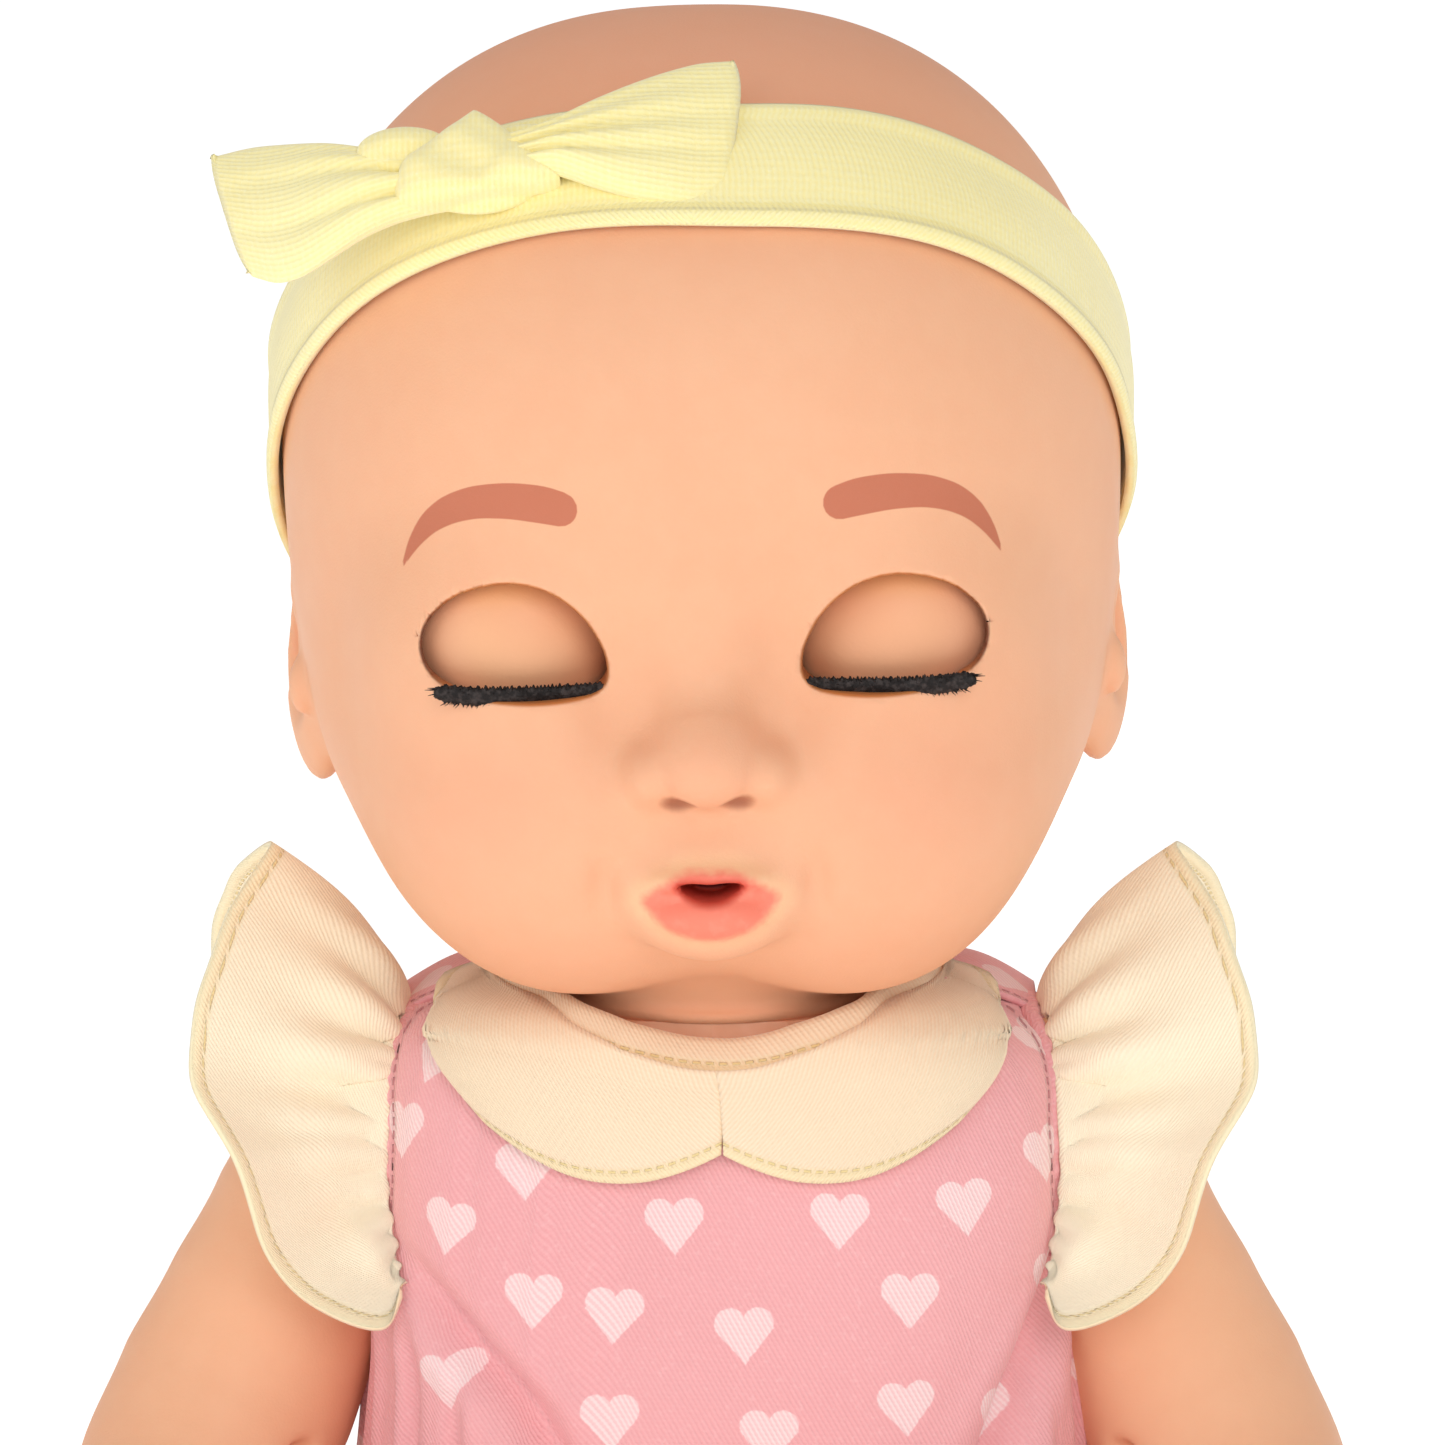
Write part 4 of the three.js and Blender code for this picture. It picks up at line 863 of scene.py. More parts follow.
def make_eyes():
    for name, side in SIDES:
        # the lid is part of a ball, cut off along its lower edge
        turn = np.radians(np.linspace(-58, 58, 60))
        up = np.radians(np.linspace(-25, 96, 66))
        a, b = np.meshgrid(turn, up)
        grid = eye_point(side, a, b, LID)
        flat = lean_grid(grid)
        z, x = grid[..., 2], (grid[..., 0] - side * EYE[0]) * side
        top = np.clip((z - EYE[2] - 4.5) / 4.2, 0, 1)
        outer = np.clip((x - 3) / 8, 0, 1)
        lid = cloth(f"{name}_eyelid_vinyl", flat, 0.4, looks["eyelid_skin"],
                    values={"top": top, "outer": outer})
        settle(lid, "eyes", "eyelid_skin", f"{name}_eyelid")

        # the eyeball, with the iris on its own raised lens looking down at rest
        turn = np.linspace(0, 2 * math.pi, 64, endpoint=False)
        up = np.linspace(0.002, math.pi - 0.002, 40)
        a, b = np.meshgrid(turn, up)
        ball = np.stack([side * EYE[0] + 14.2 * np.sin(b) * np.cos(a),
                         EYE[1] + 14.2 * np.sin(b) * np.sin(a),
                         EYE[2] + 14.2 * np.cos(b)], -1)
        white = cloth(f"{name}_eyeball_shell", lean_grid(ball),
                      1.2, looks["eyeball_white"], wrap=True, flip=True)
        settle(white, "eyes", "eyeball_white", f"{name}_eyeball")

        a, away = np.meshgrid(np.linspace(0, 2 * math.pi, 72, endpoint=False),
                              np.linspace(0.02, 1, 22))
        spread = away * math.asin(5.2 / 14.8)
        radius = 14.8 - 0.25 * away**6
        gaze = math.radians(-45)
        forward = np.array([0, -math.cos(gaze), math.sin(gaze)])
        upward = np.array([0, math.sin(gaze), math.cos(gaze)])
        right = np.array([1.0, 0, 0])
        disc = (np.array([side * EYE[0], EYE[1], EYE[2]])
                + (radius * np.cos(spread))[..., None] * forward
                + (radius * np.sin(spread) * np.cos(a))[..., None] * right
                + (radius * np.sin(spread) * np.sin(a))[..., None] * upward)
        iris = cloth(f"{name}_iris_lens", lean_grid(disc), 0.25,
                     looks["iris_brown"], wrap=True, flip=True,
                     values={"away": away, "turn": a})
        settle(iris, "eyes", "iris_brown", f"{name}_iris")
        make_lashes(name, side)


def make_lashes(name, side):
    """a felt-like strip of lashes along the lid's edge, ragged at both ends"""
    length, ring = 110, 16
    share = np.linspace(0, 1, length)
    out = -10.4 + 19.0 * share
    turn = np.arcsin(out / 19.2) * side
    up = np.radians(-15.0 + 0.5 * share + 2.9 * share**4)
    uneven = np.sin(share * 211.7 + 1.3) * np.sin(share * 67.1) * 0.5
    half = (1.42 - 0.2 * share) * np.minimum(np.minimum((share + 0.03) / 0.06, 1), np.minimum(
        (1.03 - share) / 0.07, 1)) ** 0.7
    lift = 18.5 + 2.6 * np.abs(share - 0.48) ** 2 * 4
    angle = np.linspace(0, 2 * math.pi, ring, endpoint=False)
    grid = np.zeros((length, ring, 3))
    for k in range(length):
        rough = 0.16 * np.sin(angle * 3 + k * 2.4) + 0.12 * np.sin(angle * 5 + k * 1.1)
        tall = half[k] * (1 + 0.22 * uneven[k] + rough)
        radius = lift[k] + 0.62 * np.cos(angle) * min(1, half[k] + 0.2)
        grid[k] = eye_point(side, turn[k], up[k] + tall * np.sin(angle) / lift[k] - 0.012
                            * np.sin(share[k] * 3), radius)
    strip = cloth(f"{name}_lash_strip", lean_grid(grid), 0.25,
                  looks["lash_black"], wrap=True, flip=side > 0)
    settle(strip, "eyes", "lash_black", f"{name}_lashes")

    points, faces = [], []
    count = 120
    for k in range(count):
        # short hairs fanning out of the strip, longest at its ends
        first = math.sin(k * 12.9898) * 43758.5453
        second = math.sin(k * 78.233) * 12543.137
        first, second = first - math.floor(first), second - math.floor(second)
        at = 0.05 + 0.95 * (k + first) / count
        i = min(int(at * length), length - 1)
        ends = abs(at - 0.5) * 2
        root = eye_point(side, turn[i], up[i] + (second - 0.5) * 1.7 / 18 * half[i], lift[i] + 0.2)
        away = (1 if at > 0.5 else -1) * side
        tip = root + np.array([away * (0.3 + 0.9 * ends**5), -0.45 - 0.3 * first,
                               (second - 0.6) * (1.1 - 0.5 * ends)])
        base = len(points)
        for t in (0, 0.5, 1):
            middle = root + (tip - root) * t
            size = 0.13 * (1 - 0.8 * t)
            for n in range(4):
                a = math.pi / 2 * n
                points.append(middle + np.array([0, math.cos(a) * size, math.sin(a) * size]))
        for row in (0, 4):
            for n in range(4):
                a, b = base + row + n, base + row + (n + 1) % 4
                faces.append([a, b, b + 4, a + 4])
        faces.append([base + n for n in (3, 2, 1, 0)])
        faces.append([base + 8 + n for n in range(4)])
    hairs = make(f"{name}_lash_hairs", leaning(np.array(points)), np.array(faces),
                 looks["lash_black"])
    settle(hairs, "eyes", "lash_black")


make_head()
make_eyes()

# ------------------------------------------------------------------- headband

BAND = {"y": -26.5, "z": 211.3, "tilt": math.radians(42), "half": 8.9}


def on_head(directions, lift):
    """points that distance above the head, along rays from a point inside it"""
    start = np.array([0, 3, 158], np.float32)
    near, far = np.full(len(directions), 20.0), np.full(len(directions), 90.0)
    for _ in range(26):
        middle = (near + far) / 2
        inside = skull((start + middle[:, None] * directions).astype(np.float32)) < lift
        near, far = np.where(inside, middle, near), np.where(inside, far, middle)
    return start + near[:, None] * directions


def band_point(angle, across, lift):
    """a place on the headband: angle round the head from the front, across from its lower edge"""
    c, s = math.cos(BAND["tilt"]), math.sin(BAND["tilt"])
    middle = np.array([0, BAND["y"], BAND["z"]])
    normal = np.array([0, s, c])
    # a circle in the band's plane, then out from the head's middle to the skin
    centre = np.array([0, 3, 158.0])
    centre = centre + ((middle - centre) @ normal) * normal
    forward = np.array([0, -c, s])
    ring = (centre + 60 * (np.cos(angle)[:, None] * forward
                           + np.sin(angle)[:, None] * np.array([1.0, 0, 0]))
            + across[:, None] * normal)
    way = ring - np.array([0, 3, 158.0])
    return on_head(way / np.linalg.norm(way, axis=1)[:, None], lift)


def make_headband():
    columns, rows = 260, 26
    angle = np.linspace(0, 2 * math.pi, columns, endpoint=False)
    across = np.linspace(-1, 1, rows)
    a, w = np.meshgrid(angle, across)
    folds = 0.12 * np.sin(5 * a + 2.2 * w) + 0.10 * np.sin(11 * a - 3 * w)
    hem = 0.55 * np.exp(-((np.abs(w) - 0.84) / 0.13) ** 2)
    lift = 1.5 + folds + hem + 0.35 * np.cos(w * 1.4)
    slack = 0.35 * np.sin(3 * a + 1) + 0.2 * np.sin(8 * a)
    grid = band_point(a.ravel(), (w * BAND["half"] * 1.04 + slack * w * 0.6).ravel(), lift.ravel())
    grid = leaning(grid).reshape(rows, columns, 3)
    seam = (w + 1) * BAND["half"] - 2.1
    run = a * 48
    band = cloth("headband_knit", grid, 1.1, looks["yellow_knit"], wrap=True,
                 values={"seam": seam, "run": run})
    settle(band, "head", "yellow_knit", "headband")


BOW_UP = np.array([0, 0.62, 0.78])
BOW_OUT = np.array([0, -0.78, 0.62])


def bow_end(name, path, folds, node, flare, tilt):
    """One end of the bow: a flat tube of knit, gathered at the knot and open at its tip.
    path holds [x, y, z, half height, half thickness]."""
    path = np.array(path, float)
    length, round_count = 44, 72
    t = np.linspace(0, 1, length)
    knots = np.linspace(0, 1, len(path))
    fine = np.stack([np.interp(t, knots, path[:, k]) for k in range(5)], 1)
    for _ in range(6):
        fine[1:-1] = (fine[:-2] + 2 * fine[1:-1] + fine[2:]) / 4
    angle = np.linspace(0, 2 * math.pi, round_count, endpoint=False)
    grid = np.zeros((length, round_count, 3))
    for k in range(length):
        x, y, z, half, thick = fine[k]
        gathered = (1 - t[k]) ** 1.6
        up = half * np.sign(np.cos(angle)) * np.abs(np.cos(angle)) ** 0.85
        out = thick * np.sin(angle)
        for place, depth, width in folds:
            out -= np.sign(np.sin(angle)) * depth * (0.35 + gathered) * thick * np.exp(
                -((up / max(half, 0.1) - place) / width) ** 2)
        sag = flare * t[k] ** 2 * (up / 9.5) ** 2
        edge_tilt = tilt * up * t[k] ** 3 * np.sign(path[-1, 0] - path[0, 0])
        edge_tilt -= 0.9 * np.abs(up / 9) ** 4 * t[k] ** 6 * np.sign(path[-1, 0] - path[0, 0])
        grid[k] = (np.array([x, y, z]) + up[:, None] * BOW_UP + (out - sag)[:, None] * BOW_OUT)
        grid[k, :, 0] += edge_tilt
    # the tip closes flat where the two layers are sewn together
    grid[-1] = grid[-1] * 0.15 + 0.85 * (fine[-1, :3] + ((grid[-1] - fine[-1, :3]) @ BOW_UP)[
        :, None] * BOW_UP + np.stack([grid[-1, :, 0] - fine[-1, 0], 0 * angle, 0 * angle], 1))
    seam = np.full(grid.shape[:2], 9.0)
    run = grid @ BOW_UP
    piece = cloth(name, lean_grid(grid), 0.7,
                  looks["yellow_knit"], wrap=True, flip=path[-1, 0] < path[0, 0],
                  values={"seam": seam, "run": run})
    settle(piece, "head", "yellow_knit", node)
    return piece


def make_bow():
    outer = bow_end("bow_outer_cloth", [
        (-27, -28.6, 212.0, 3.6, 2.2), (-32, -28.8, 211.6, 3.8, 2.8), (-36, -28.6, 211.2, 4.4, 3.3),
        (-40, -28.0, 210.9, 6.0, 3.6), (-44.2, -26.9, 209.9, 7.9, 3.5), (-48.6, -25.2, 208.6, 9.3, 3.0),
        (-53, -22.8, 207.9, 9.7, 2.3), (-57.6, -20.2, 207.6, 8.4, 1.2),
    ], [(0.3, 0.5, 0.13), (-0.38, 0.6, 0.14), (0.75, 0.2, 0.12)], "bow_outer_end", 1.2, 0.27)
    inner = bow_end("bow_inner_cloth", [
        (-25, -29.0, 214.2, 3.0, 2.2), (-20.5, -29.8, 215.3, 3.0, 2.6), (-16.4, -29.8, 216.1, 3.5, 3.1),
        (-12.5, -29.4, 216.2, 5.6, 3.4), (-8.0, -28.6, 216.3, 7.6, 3.2), (-3.6, -27.8, 216.6, 9.0, 2.8),
        (1.0, -27.0, 216.7, 10.2, 2.2), (5.6, -26.3, 216.8, 10.2, 1.2),
    ], [(0.18, 0.65, 0.11), (-0.3, 0.5, 0.12), (0.65, 0.25, 0.14)], "bow_inner_end", 0.3, 0.13)

    wrap_edge = rounded([
        (-9.0, -5.0), (-9.1, 0.4), (-4.8, 3.8), (-1.0, 7.2), (0.6, 7.2), (5.2, 3.2),
        (9.7, -1.4), (9.2, -2.9), (2.0, -4.2),
    ], 4)

    def knot(p):
        """a folded strip wrapped slantwise over a gathered core"""
        q = p - np.array([-26.1, -29.2, 213.6], np.float32)
        up, out, x = q @ BOW_UP, q @ BOW_OUT, q[:, 0]
        edge = outline_distance(x, up, wrap_edge)
        bulge = 0.8 - 0.012 * x**2 - 0.02 * up**2 + 0.35 * np.tanh((x - up * 0.9 - 3.2) * 0.9)
        bulge += 0.22 * np.sin(0.9 * up + 0.55 * x)
        wrap = np.hypot(np.maximum(edge + 2.2, 0), np.maximum(np.abs(out - bulge) - 0.9, 0)) - 2.2
        flat = np.stack([x, out, up], 1).astype(np.float32)
        left = ellipsoid(flat, (-8.8, -0.9, 3.0), (5.9, 2.7, 3.2))
        hollow = ellipsoid(flat, (-9.4, 2.4, 1.2), (4.2, 1.5, 1.5))
        left = smooth_cut(left, hollow, 1.2)
        right = ellipsoid(flat, (6.4, -1.3, 4.7), (5.0, 2.0, 1.7))
        core = ellipsoid(flat, (0, -1.6, 0), (8.4, 2.4, 5.4))
        d = smooth_union(left, right, 0.6)
        d = smooth_union(d, core, 1.0)
        return smooth_union(d, wrap, 0.25)
    points, quads, normals = surface(knot, (-43, -42, 198), (-13, -15, 230), GRID * 0.5)
    away = points - points.mean(0)
    weave = np.stack([away[:, 0], away @ BOW_UP], 1) * MM
    piece = make("bow_knot_cloth", leaning(points), quads, looks["yellow_knit"],
                 lean_normals(normals, points),
                 {"seam": np.full(len(points), 5.0), "run": np.zeros(len(points))},
                 {"weave": weave[quads].reshape(-1, 2)})
    settle(piece, "head", "yellow_knit", "bow_knot")


make_headband()
make_bow()

# ---------------------------------------------------------------------- limbs

SHOULDER = (37.2, 84)  # across and up
HIP = (27, -6, 26)
HIP_TILT = math.radians(22)
ARM = [
    (44.2, 0, 86, 12.4), (47, -0.4, 79, 12.2), (50.9, -1, 72.5, 12.6), (55.9, -3, 62, 13.5),
    (60.8, -5, 51.5, 14.5), (65.2, -10, 42.5, 14.5), (70.6, -21, 34, 13.4),
    (74.8, -33, 25.5, 11.8), (77.4, -43, 18.5, 9.4), (78.4, -49, 14, 7.6),
]
FINGERS = [
    [(74.6, -58, 9.4, 3.1), (73.9, -64, 8.0, 2.7), (73.9, -67.6, 5.2, 2.3)],
    [(77.6, -59, 9.2, 3.1), (77.4, -66, 7.6, 2.7), (77.5, -69.6, 4.8, 2.3)],
    [(80.8, -59, 8.8, 3.1), (81.0, -65.8, 7.2, 2.7), (81.2, -69.2, 4.6, 2.3)],
    [(83.6, -57.6, 8.6, 2.8), (84.2, -63, 6.8, 2.4), (84.4, -66, 4.6, 2.0)],
]
THUMB = [(74.4, -50, 13, 3.9), (71.2, -56, 10, 3.2), (70.6, -61, 7.6, 2.6)]
LEG = [
    (29, -6, 24.5, 18.4), (33, -18, 23.5, 18.2), (37, -30, 22.4, 17.6), (43.5, -49, 19.8, 16.4),
    (47.4, -61, 17.8, 15.0), (50, -77, 14.4, 13.8), (51.6, -92, 11.8, 10.8), (52, -101, 10.9, 9.6),
]
FOOT = [
    (52.2, -104, 10.2, 9.6), (54, -109, 16, 9.9), (56.5, -112, 24, 9.3), (58.6, -113.6, 31, 8.6),
    (60.4, -114.4, 37, 7.2),
]
TOES = [
    (55.9, -114.4, 42.4, 3.7), (60.2, -114.9, 43.8, 3.1), (63.6, -114.8, 43.0, 2.9),
    (66.4, -114.3, 40.9, 2.7), (68.4, -113.6, 38.0, 2.5),
]


def arm_field(p):
    d = limb(p, ARM, 4)
    d = smooth_union(d, np.linalg.norm(p - np.array([45, 0, 84], np.float32), axis=1) - 13.6, 4)
    # chubby rolls at the elbow and wrist
    def elbow(q):
        return cone(q, (52, -17, 47), (66, -19.5, 51), 0.5, 0.4)
    d = smooth_cut(d, near_only(p, (60, -17, 49), 16, elbow), 3.4)
    wrist = near_only(p, (77.8, -45, 17), 16, lambda q: np.hypot(
        np.maximum(np.abs(cone(q, (77.9, -45.2, 16.8), (78.0, -45.8, 16.4), 9.2, 9.2)) - 0.1, 0),
        (q - np.array([77.9, -45.5, 16.6], np.float32)) @ np.array(
            [0.09, -0.83, -0.55], np.float32)) - 0.6)
    d = smooth_cut(d, wrist, 1.6)

    def hand(q):
        palm = ellipsoid(q, (78.9, -54, 11.2), (8.0, 8.6, 5.9))
        for finger in FINGERS:
            palm = smooth_union(palm, limb(q, finger, 0.6), 0.9)
        return smooth_union(palm, limb(q, THUMB, 1.0), 1.6)
    d = smooth_union(d, near_only(p, (78, -58, 9), 24, hand), 3)
    # the flat face that turns against the torso
    return np.maximum(d, SHOULDER[0] + 0.15 - p[:, 0])


def leg_field(p):
    d = limb(p, LEG, 7)
    d = smooth_union(d, np.linalg.norm(p - np.array([28, -6, 25.6], np.float32), axis=1) - 18.7, 5)
    d = smooth_union(d, limb(p, FOOT, 5), 5)
    heel = np.linalg.norm(p - np.array([52.2, -105.4, 10.2], np.float32), axis=1) - 9.7
    d = smooth_union(d, heel, 3)

    def toes(q):
        found = None
        for x, y, z, radius in TOES:
            toe = ellipsoid(q, (x, y, z), (radius, radius * 1.15, radius * 1.2))
            found = toe if found is None else smooth_union(found, toe, 0.5)
        return found
    d = smooth_union(d, near_only(p, (61.5, -114, 40), 20, toes), 1.6)
    # the roll behind the knee and the crease of the ankle
    d = smooth_cut(d, near_only(p, (47, -61, 34), 22, lambda q: cone(
        q, (36, -60, 34.5), (58, -62, 33.5), 1.2, 1.2)), 2.4)
    d = smooth_cut(d, near_only(p, (53, -103, 22), 16, lambda q: cone(
        q, (44, -101.5, 22), (62, -102.5, 23.5), 1.2, 1.2)), 2.6)
    along = np.array([math.cos(HIP_TILT), 0, -math.sin(HIP_TILT)], np.float32)
    flat = 0.15 - (p - np.array(HIP, np.float32)) @ along
    return np.maximum(np.maximum(d, flat), 0.4 - p[:, 2])


def make_limbs():
    for field, box, node, spacing in (
            (arm_field, ((34, -78, 0), (92, 20, 102)), "arm", GRID),
            (leg_field, ((20, -128, -2), (76, 22, 52)), "leg", GRID * 1.05)):
        points, quads, normals = surface(field, *box, spacing)
        for name, side in SIDES:
            at, turned, faces = points, normals, quads
            if side < 0:
                at, turned, faces = flipped(points), flipped(normals), quads[:, ::-1]
            piece = make(f"{name}_{node}_vinyl", at, faces, looks["vinyl_skin"], turned)
            settle(piece, f"{name}_{node}", "vinyl_skin", f"{name}_{node}")


make_limbs()

# -------------------------------------------------------------------- garment

# the romper's sections from the seat up: [height, half width, half depth, centre y, squareness]
ROMPER = np.array([
    (0, 28, 22.5, 0, 2.4), (2, 35, 28, 0, 2.4), (12, 43, 33, -0.8, 2.4), (24, 45, 34.6, -1.2, 2.5),
    (36, 45.4, 35, -1.5, 2.5), (48, 44.2, 34.2, -1.8, 2.5), (58, 43.2, 33.2, -2, 2.6),
    (66, 42.8, 32.4, -1.8, 2.9), (76, 43.2, 31.0, -1.2, 3.3), (86, 43.8, 29.6, -0.6, 3.5),
    (94, 43.4, 28.6, 0, 3.4), (98.5, 42.0, 27.8, 0, 3.1), (101.4, 39.6, 27.2, 0, 2.8),
    (103.2, 35.4, 26.4, 0, 2.5), (104.3, 29.2, 25.4, 0, 2.3), (105.4, 27.6, 24.6, 0, 2.2),
])
SHIFT = 1.2  # the clothes sit a little towards the doll's left
ARMHOLE = (84.6, 16.4, 16.6)  # height of its middle, half depth and half height
LEG_HOLE = (28, -6, 21)  # in the seat: how far out, y, and its radius


def section(z):
    """half width, half depth, centre and squareness at a height, eased between the stations"""
    out = []
    for k in range(1, 5):
        total = 0
        for shift, share in ((-1.6, 0.25), (0, 0.5), (1.6, 0.25)):
            total = total + share * np.interp(z + shift * (z > 4) * (z < 101), ROMPER[:, 0],
                                              ROMPER[:, k])
        out.append(total)
    return out


def signed_power(v, n):
    return np.sign(v) * np.abs(v) ** n


def on_romper(angle, z, lift=0.0):
    """a point of the romper: bearing from the front towards the doll's left, and height"""
    a, b, middle, power = section(z)
    s, c = np.sin(angle), np.cos(angle)
    away = (np.abs(s / a) ** power + np.abs(c / b) ** power) ** (-1 / power)
    x, y = away * s, middle - away * c
    nx = signed_power(x / a, power - 1) / a
    ny = signed_power((y - middle) / b, power - 1) / b
    flat = np.maximum(np.hypot(nx, ny), 1e-9)
    slope = np.clip((z - 97) / 7, 0, 1) ** 1.5 * 1.15
    nx, ny = nx / flat * np.cos(slope), ny / flat * np.cos(slope)
    return np.stack([x + lift * nx + SHIFT * np.clip(1 - slope, 0.5, 1), y + lift * ny,
                     z + lift * np.sin(slope)], -1)


def neck_edge(angle):
    """height of the romper's neckline: it dips at the front"""
    front = (np.degrees(angle) + 180) % 360 - 180
    return 104.9 - 5.7 * np.exp(-(np.abs(front) / 34) ** 2.2)


def angle_at(x, z):
    """the bearing, on the front, of a place that far sideways"""
    a, b, _, power = section(z)
    share = np.clip(np.abs(x) / a, 0, 1)
    return np.arctan2(x, b * (1 - share**power) ** (1 / power))


def garment_folds(angle, z):
    """how far the cloth stands out: soft folds, and gathers at the sides below the arms"""
    front = (np.degrees(angle) + 180) % 360 - 180
    side = np.abs(front)
    lift = 0.35 * np.sin(3.1 * angle + 0.07 * z) + 0.22 * np.sin(7 * angle - 0.09 * z + 1)
    # the crease between the front panel and the gathered sides, lower on the doll's right
    right = np.interp(z, (30, 40, 50, 57.8, 69, 78), (21, 26, 32, 39.4, 54.3, 66))
    left = np.interp(z, (30, 40, 50, 57.8, 65, 78), (42, 48, 54, 59.6, 65, 76))
    crease = np.where(front < 0, right, left)
    depth = np.interp(z, (6, 26, 48, 68, 76), (0, 2.0, 3.6, 3.0, 0))
    bend = side - crease
    lift = lift - depth * np.exp(-(bend / 3.6) ** 2) + depth * 0.6 * np.exp(
        -((bend - 8.5) / 5.5) ** 2)
    puff = np.clip((bend - 5) / 12, 0, 1) * np.clip((78 - z) / 14, 0, 1) * np.clip(z / 16, 0, 1)
    puff = puff * np.clip((150 - side) / 30, 0, 1)
    lift = lift + puff * (0.65 * np.sin(angle * 46 + 0.03 * z) + 0.4 * np.sin(angle * 75 + 1)
                          + 1.9)
    # a second drag line above the crease, from the bottom of the armhole
    drag = crease - 9
    lift = lift + np.interp(z, (44, 58, 76), (0, 0.8, 0)) * np.exp(-((side - drag) / 3.2) ** 2)
    back = np.clip((side - 130) / 30, 0, 1)
    lift = lift + back * (0.5 * np.sin(angle * 17 + 0.05 * z) + 0.5) * np.clip((80 - z) / 40, 0, 1)
    return lift * np.clip((104 - z) / 8, 0, 1) * np.clip(z / 3, 0, 1)


# hearts seen from the front: [x, height, tilt], then rows round the sides and the back
FRONT_HEARTS = [
    (-24.9, 87.3, 4), (-34.2, 78.9, -6), (-5.9, 80.1, 2), (14.4, 81.4, -2), (30.6, 81.6, 3),
    (40.2, 87.0, 6), (-23.7, 70.8, 0), (-13.6, 69.8, -3), (2.6, 67.6, 2), (23.4, 70.8, -2),
    (40.4, 70.5, 4), (-14.0, 56.5, 3), (6.0, 54.6, -2), (23.2, 57.8, 2), (-36.0, 99.0, -8),
    (-40.2, 90.0, 8), (40.2, 99.4, 8), (-33.0, 60.5, 10), (34.5, 55.0, -4), (-4.0, 42.5, 2),
    (14.5, 41.0, -3), (-22.0, 43.0, 4), (29.5, 42.5, 0), (5.0, 29.0, 3), (-13.5, 28.5, -2),
    (22.0, 27.5, 2), (-4.5, 16.5, 0), (13.5, 15.5, 3),
]
ROUND_HEARTS = [(18, 12), (30.5, 0), (43, 14), (55.5, 2), (67, 11), (78.5, 1), (90, 12), (99, 3)]


def romper_hearts():
    rows, cols = 100, 360
    angle = np.linspace(-math.pi, math.pi, cols, endpoint=False)
    a, v = np.meshgrid(angle, np.linspace(0, 1, rows))
    grid = on_romper(a, v * neck_edge(a))
    found = []
    for x, z, tilt in FRONT_HEARTS:
        col = np.abs(angle - angle_at(x, np.array(z))).argmin()
        row = np.abs(grid[:, col, 2] - z).argmin()
        found.append(heart_at(grid, row, col, True, tilt))
    for z, start in ROUND_HEARTS:
        for n, degrees in enumerate(np.arange(78 + start, 284, 23)):
            if z > 68 and abs(degrees - 90) < 24 or z > 68 and abs(degrees - 270) < 24:
                continue
            wrapped = (degrees + 180) % 360 - 180
            col = np.abs(angle - math.radians(wrapped)).argmin()
            row = np.abs(grid[:, col, 2] - z - 1.2 * math.sin(n * 2.1)).argmin()
            found.append(heart_at(grid, row, col, True, 5 * math.sin(n * 3.7 + z)))
    return found


def make_romper():
    rows, cols = 100, 300
    angle = np.linspace(-math.pi, math.pi, cols, endpoint=False)
    a, v = np.meshgrid(angle, np.linspace(0, 1, rows) ** 0.92)
    z = v * neck_edge(a)
    grid = on_romper(a, z, garment_folds(a, z))
    high, wide, tall = ARMHOLE
    where = np.hypot(grid[..., 1] / wide, (grid[..., 2] - high) / tall)
    beside = np.abs(grid[..., 0] - SHIFT) > 28
    outside = (where > 1) | ~beside
    keep = outside[:-1] & outside[1:]
    keep = keep & np.roll(keep, -1, 1)
    # the hole's edge is drawn onto the armhole's smooth oval
    lost = np.zeros((rows, cols), bool)
    for dr in (0, 1):
        for dc in (0, 1):
            lost[dr:rows - 1 + dr] |= np.roll(~keep, dc, 1)
    edge = lost & beside & (where < 1.35)
    turn = np.arctan2((grid[..., 2] - high) / tall, grid[..., 1] / wide)
    grid[..., 1] = np.where(edge, wide * np.cos(turn), grid[..., 1])
    grid[..., 2] = np.where(edge, high + tall * np.sin(turn), grid[..., 2])
    where = np.hypot(grid[..., 1] / wide, (grid[..., 2] - high) / tall)
    seam = (where - 1) * 16.5 - 2.4
    seam = np.where(beside, seam, 9)
    run = turn * 16.5
    # the seams along the top of each shoulder
    shoulder = (z > 99) & (np.abs(grid[..., 0]) > 24)
    seam = np.where(shoulder & (np.abs(grid[..., 1] + 3) < 3), grid[..., 1] + 3, seam)
    run = np.where(shoulder, grid[..., 0], run)
    body = cloth("romper_cloth", grid, 0.9, looks["pink_hearts"], wrap=True, keep=keep,
                 hearts=hearts, values={"seam": seam, "run": run}, flip=False)
    settle(body, "torso", "pink_hearts", "romper_body")

    # a floor of cloth closes the seat between the legs
    ring = on_romper(angle, np.full(cols, 0.0))
    centre = ring.mean(0)
    seat = centre + np.linspace(0.02, 1, 40)[:, None, None] * (ring - centre)
    seat[..., 2] = 0.1
    leg_gap = np.hypot(np.abs(seat[..., 0]) - LEG_HOLE[0], seat[..., 1] - LEG_HOLE[1])
    leg_gap = leg_gap - LEG_HOLE[2]
    keep = np.minimum(leg_gap[:-1], leg_gap[1:]) > 0
    keep = keep & np.roll(keep, -1, 1)
    under = cloth("romper_seat_cloth", seat, 0.7, looks["pink_hearts"], wrap=True, hearts=[],
                  keep=keep, values={"seam": leg_gap - 1.4, "run": seat[..., 1]})
    settle(under, "torso", "pink_hearts")


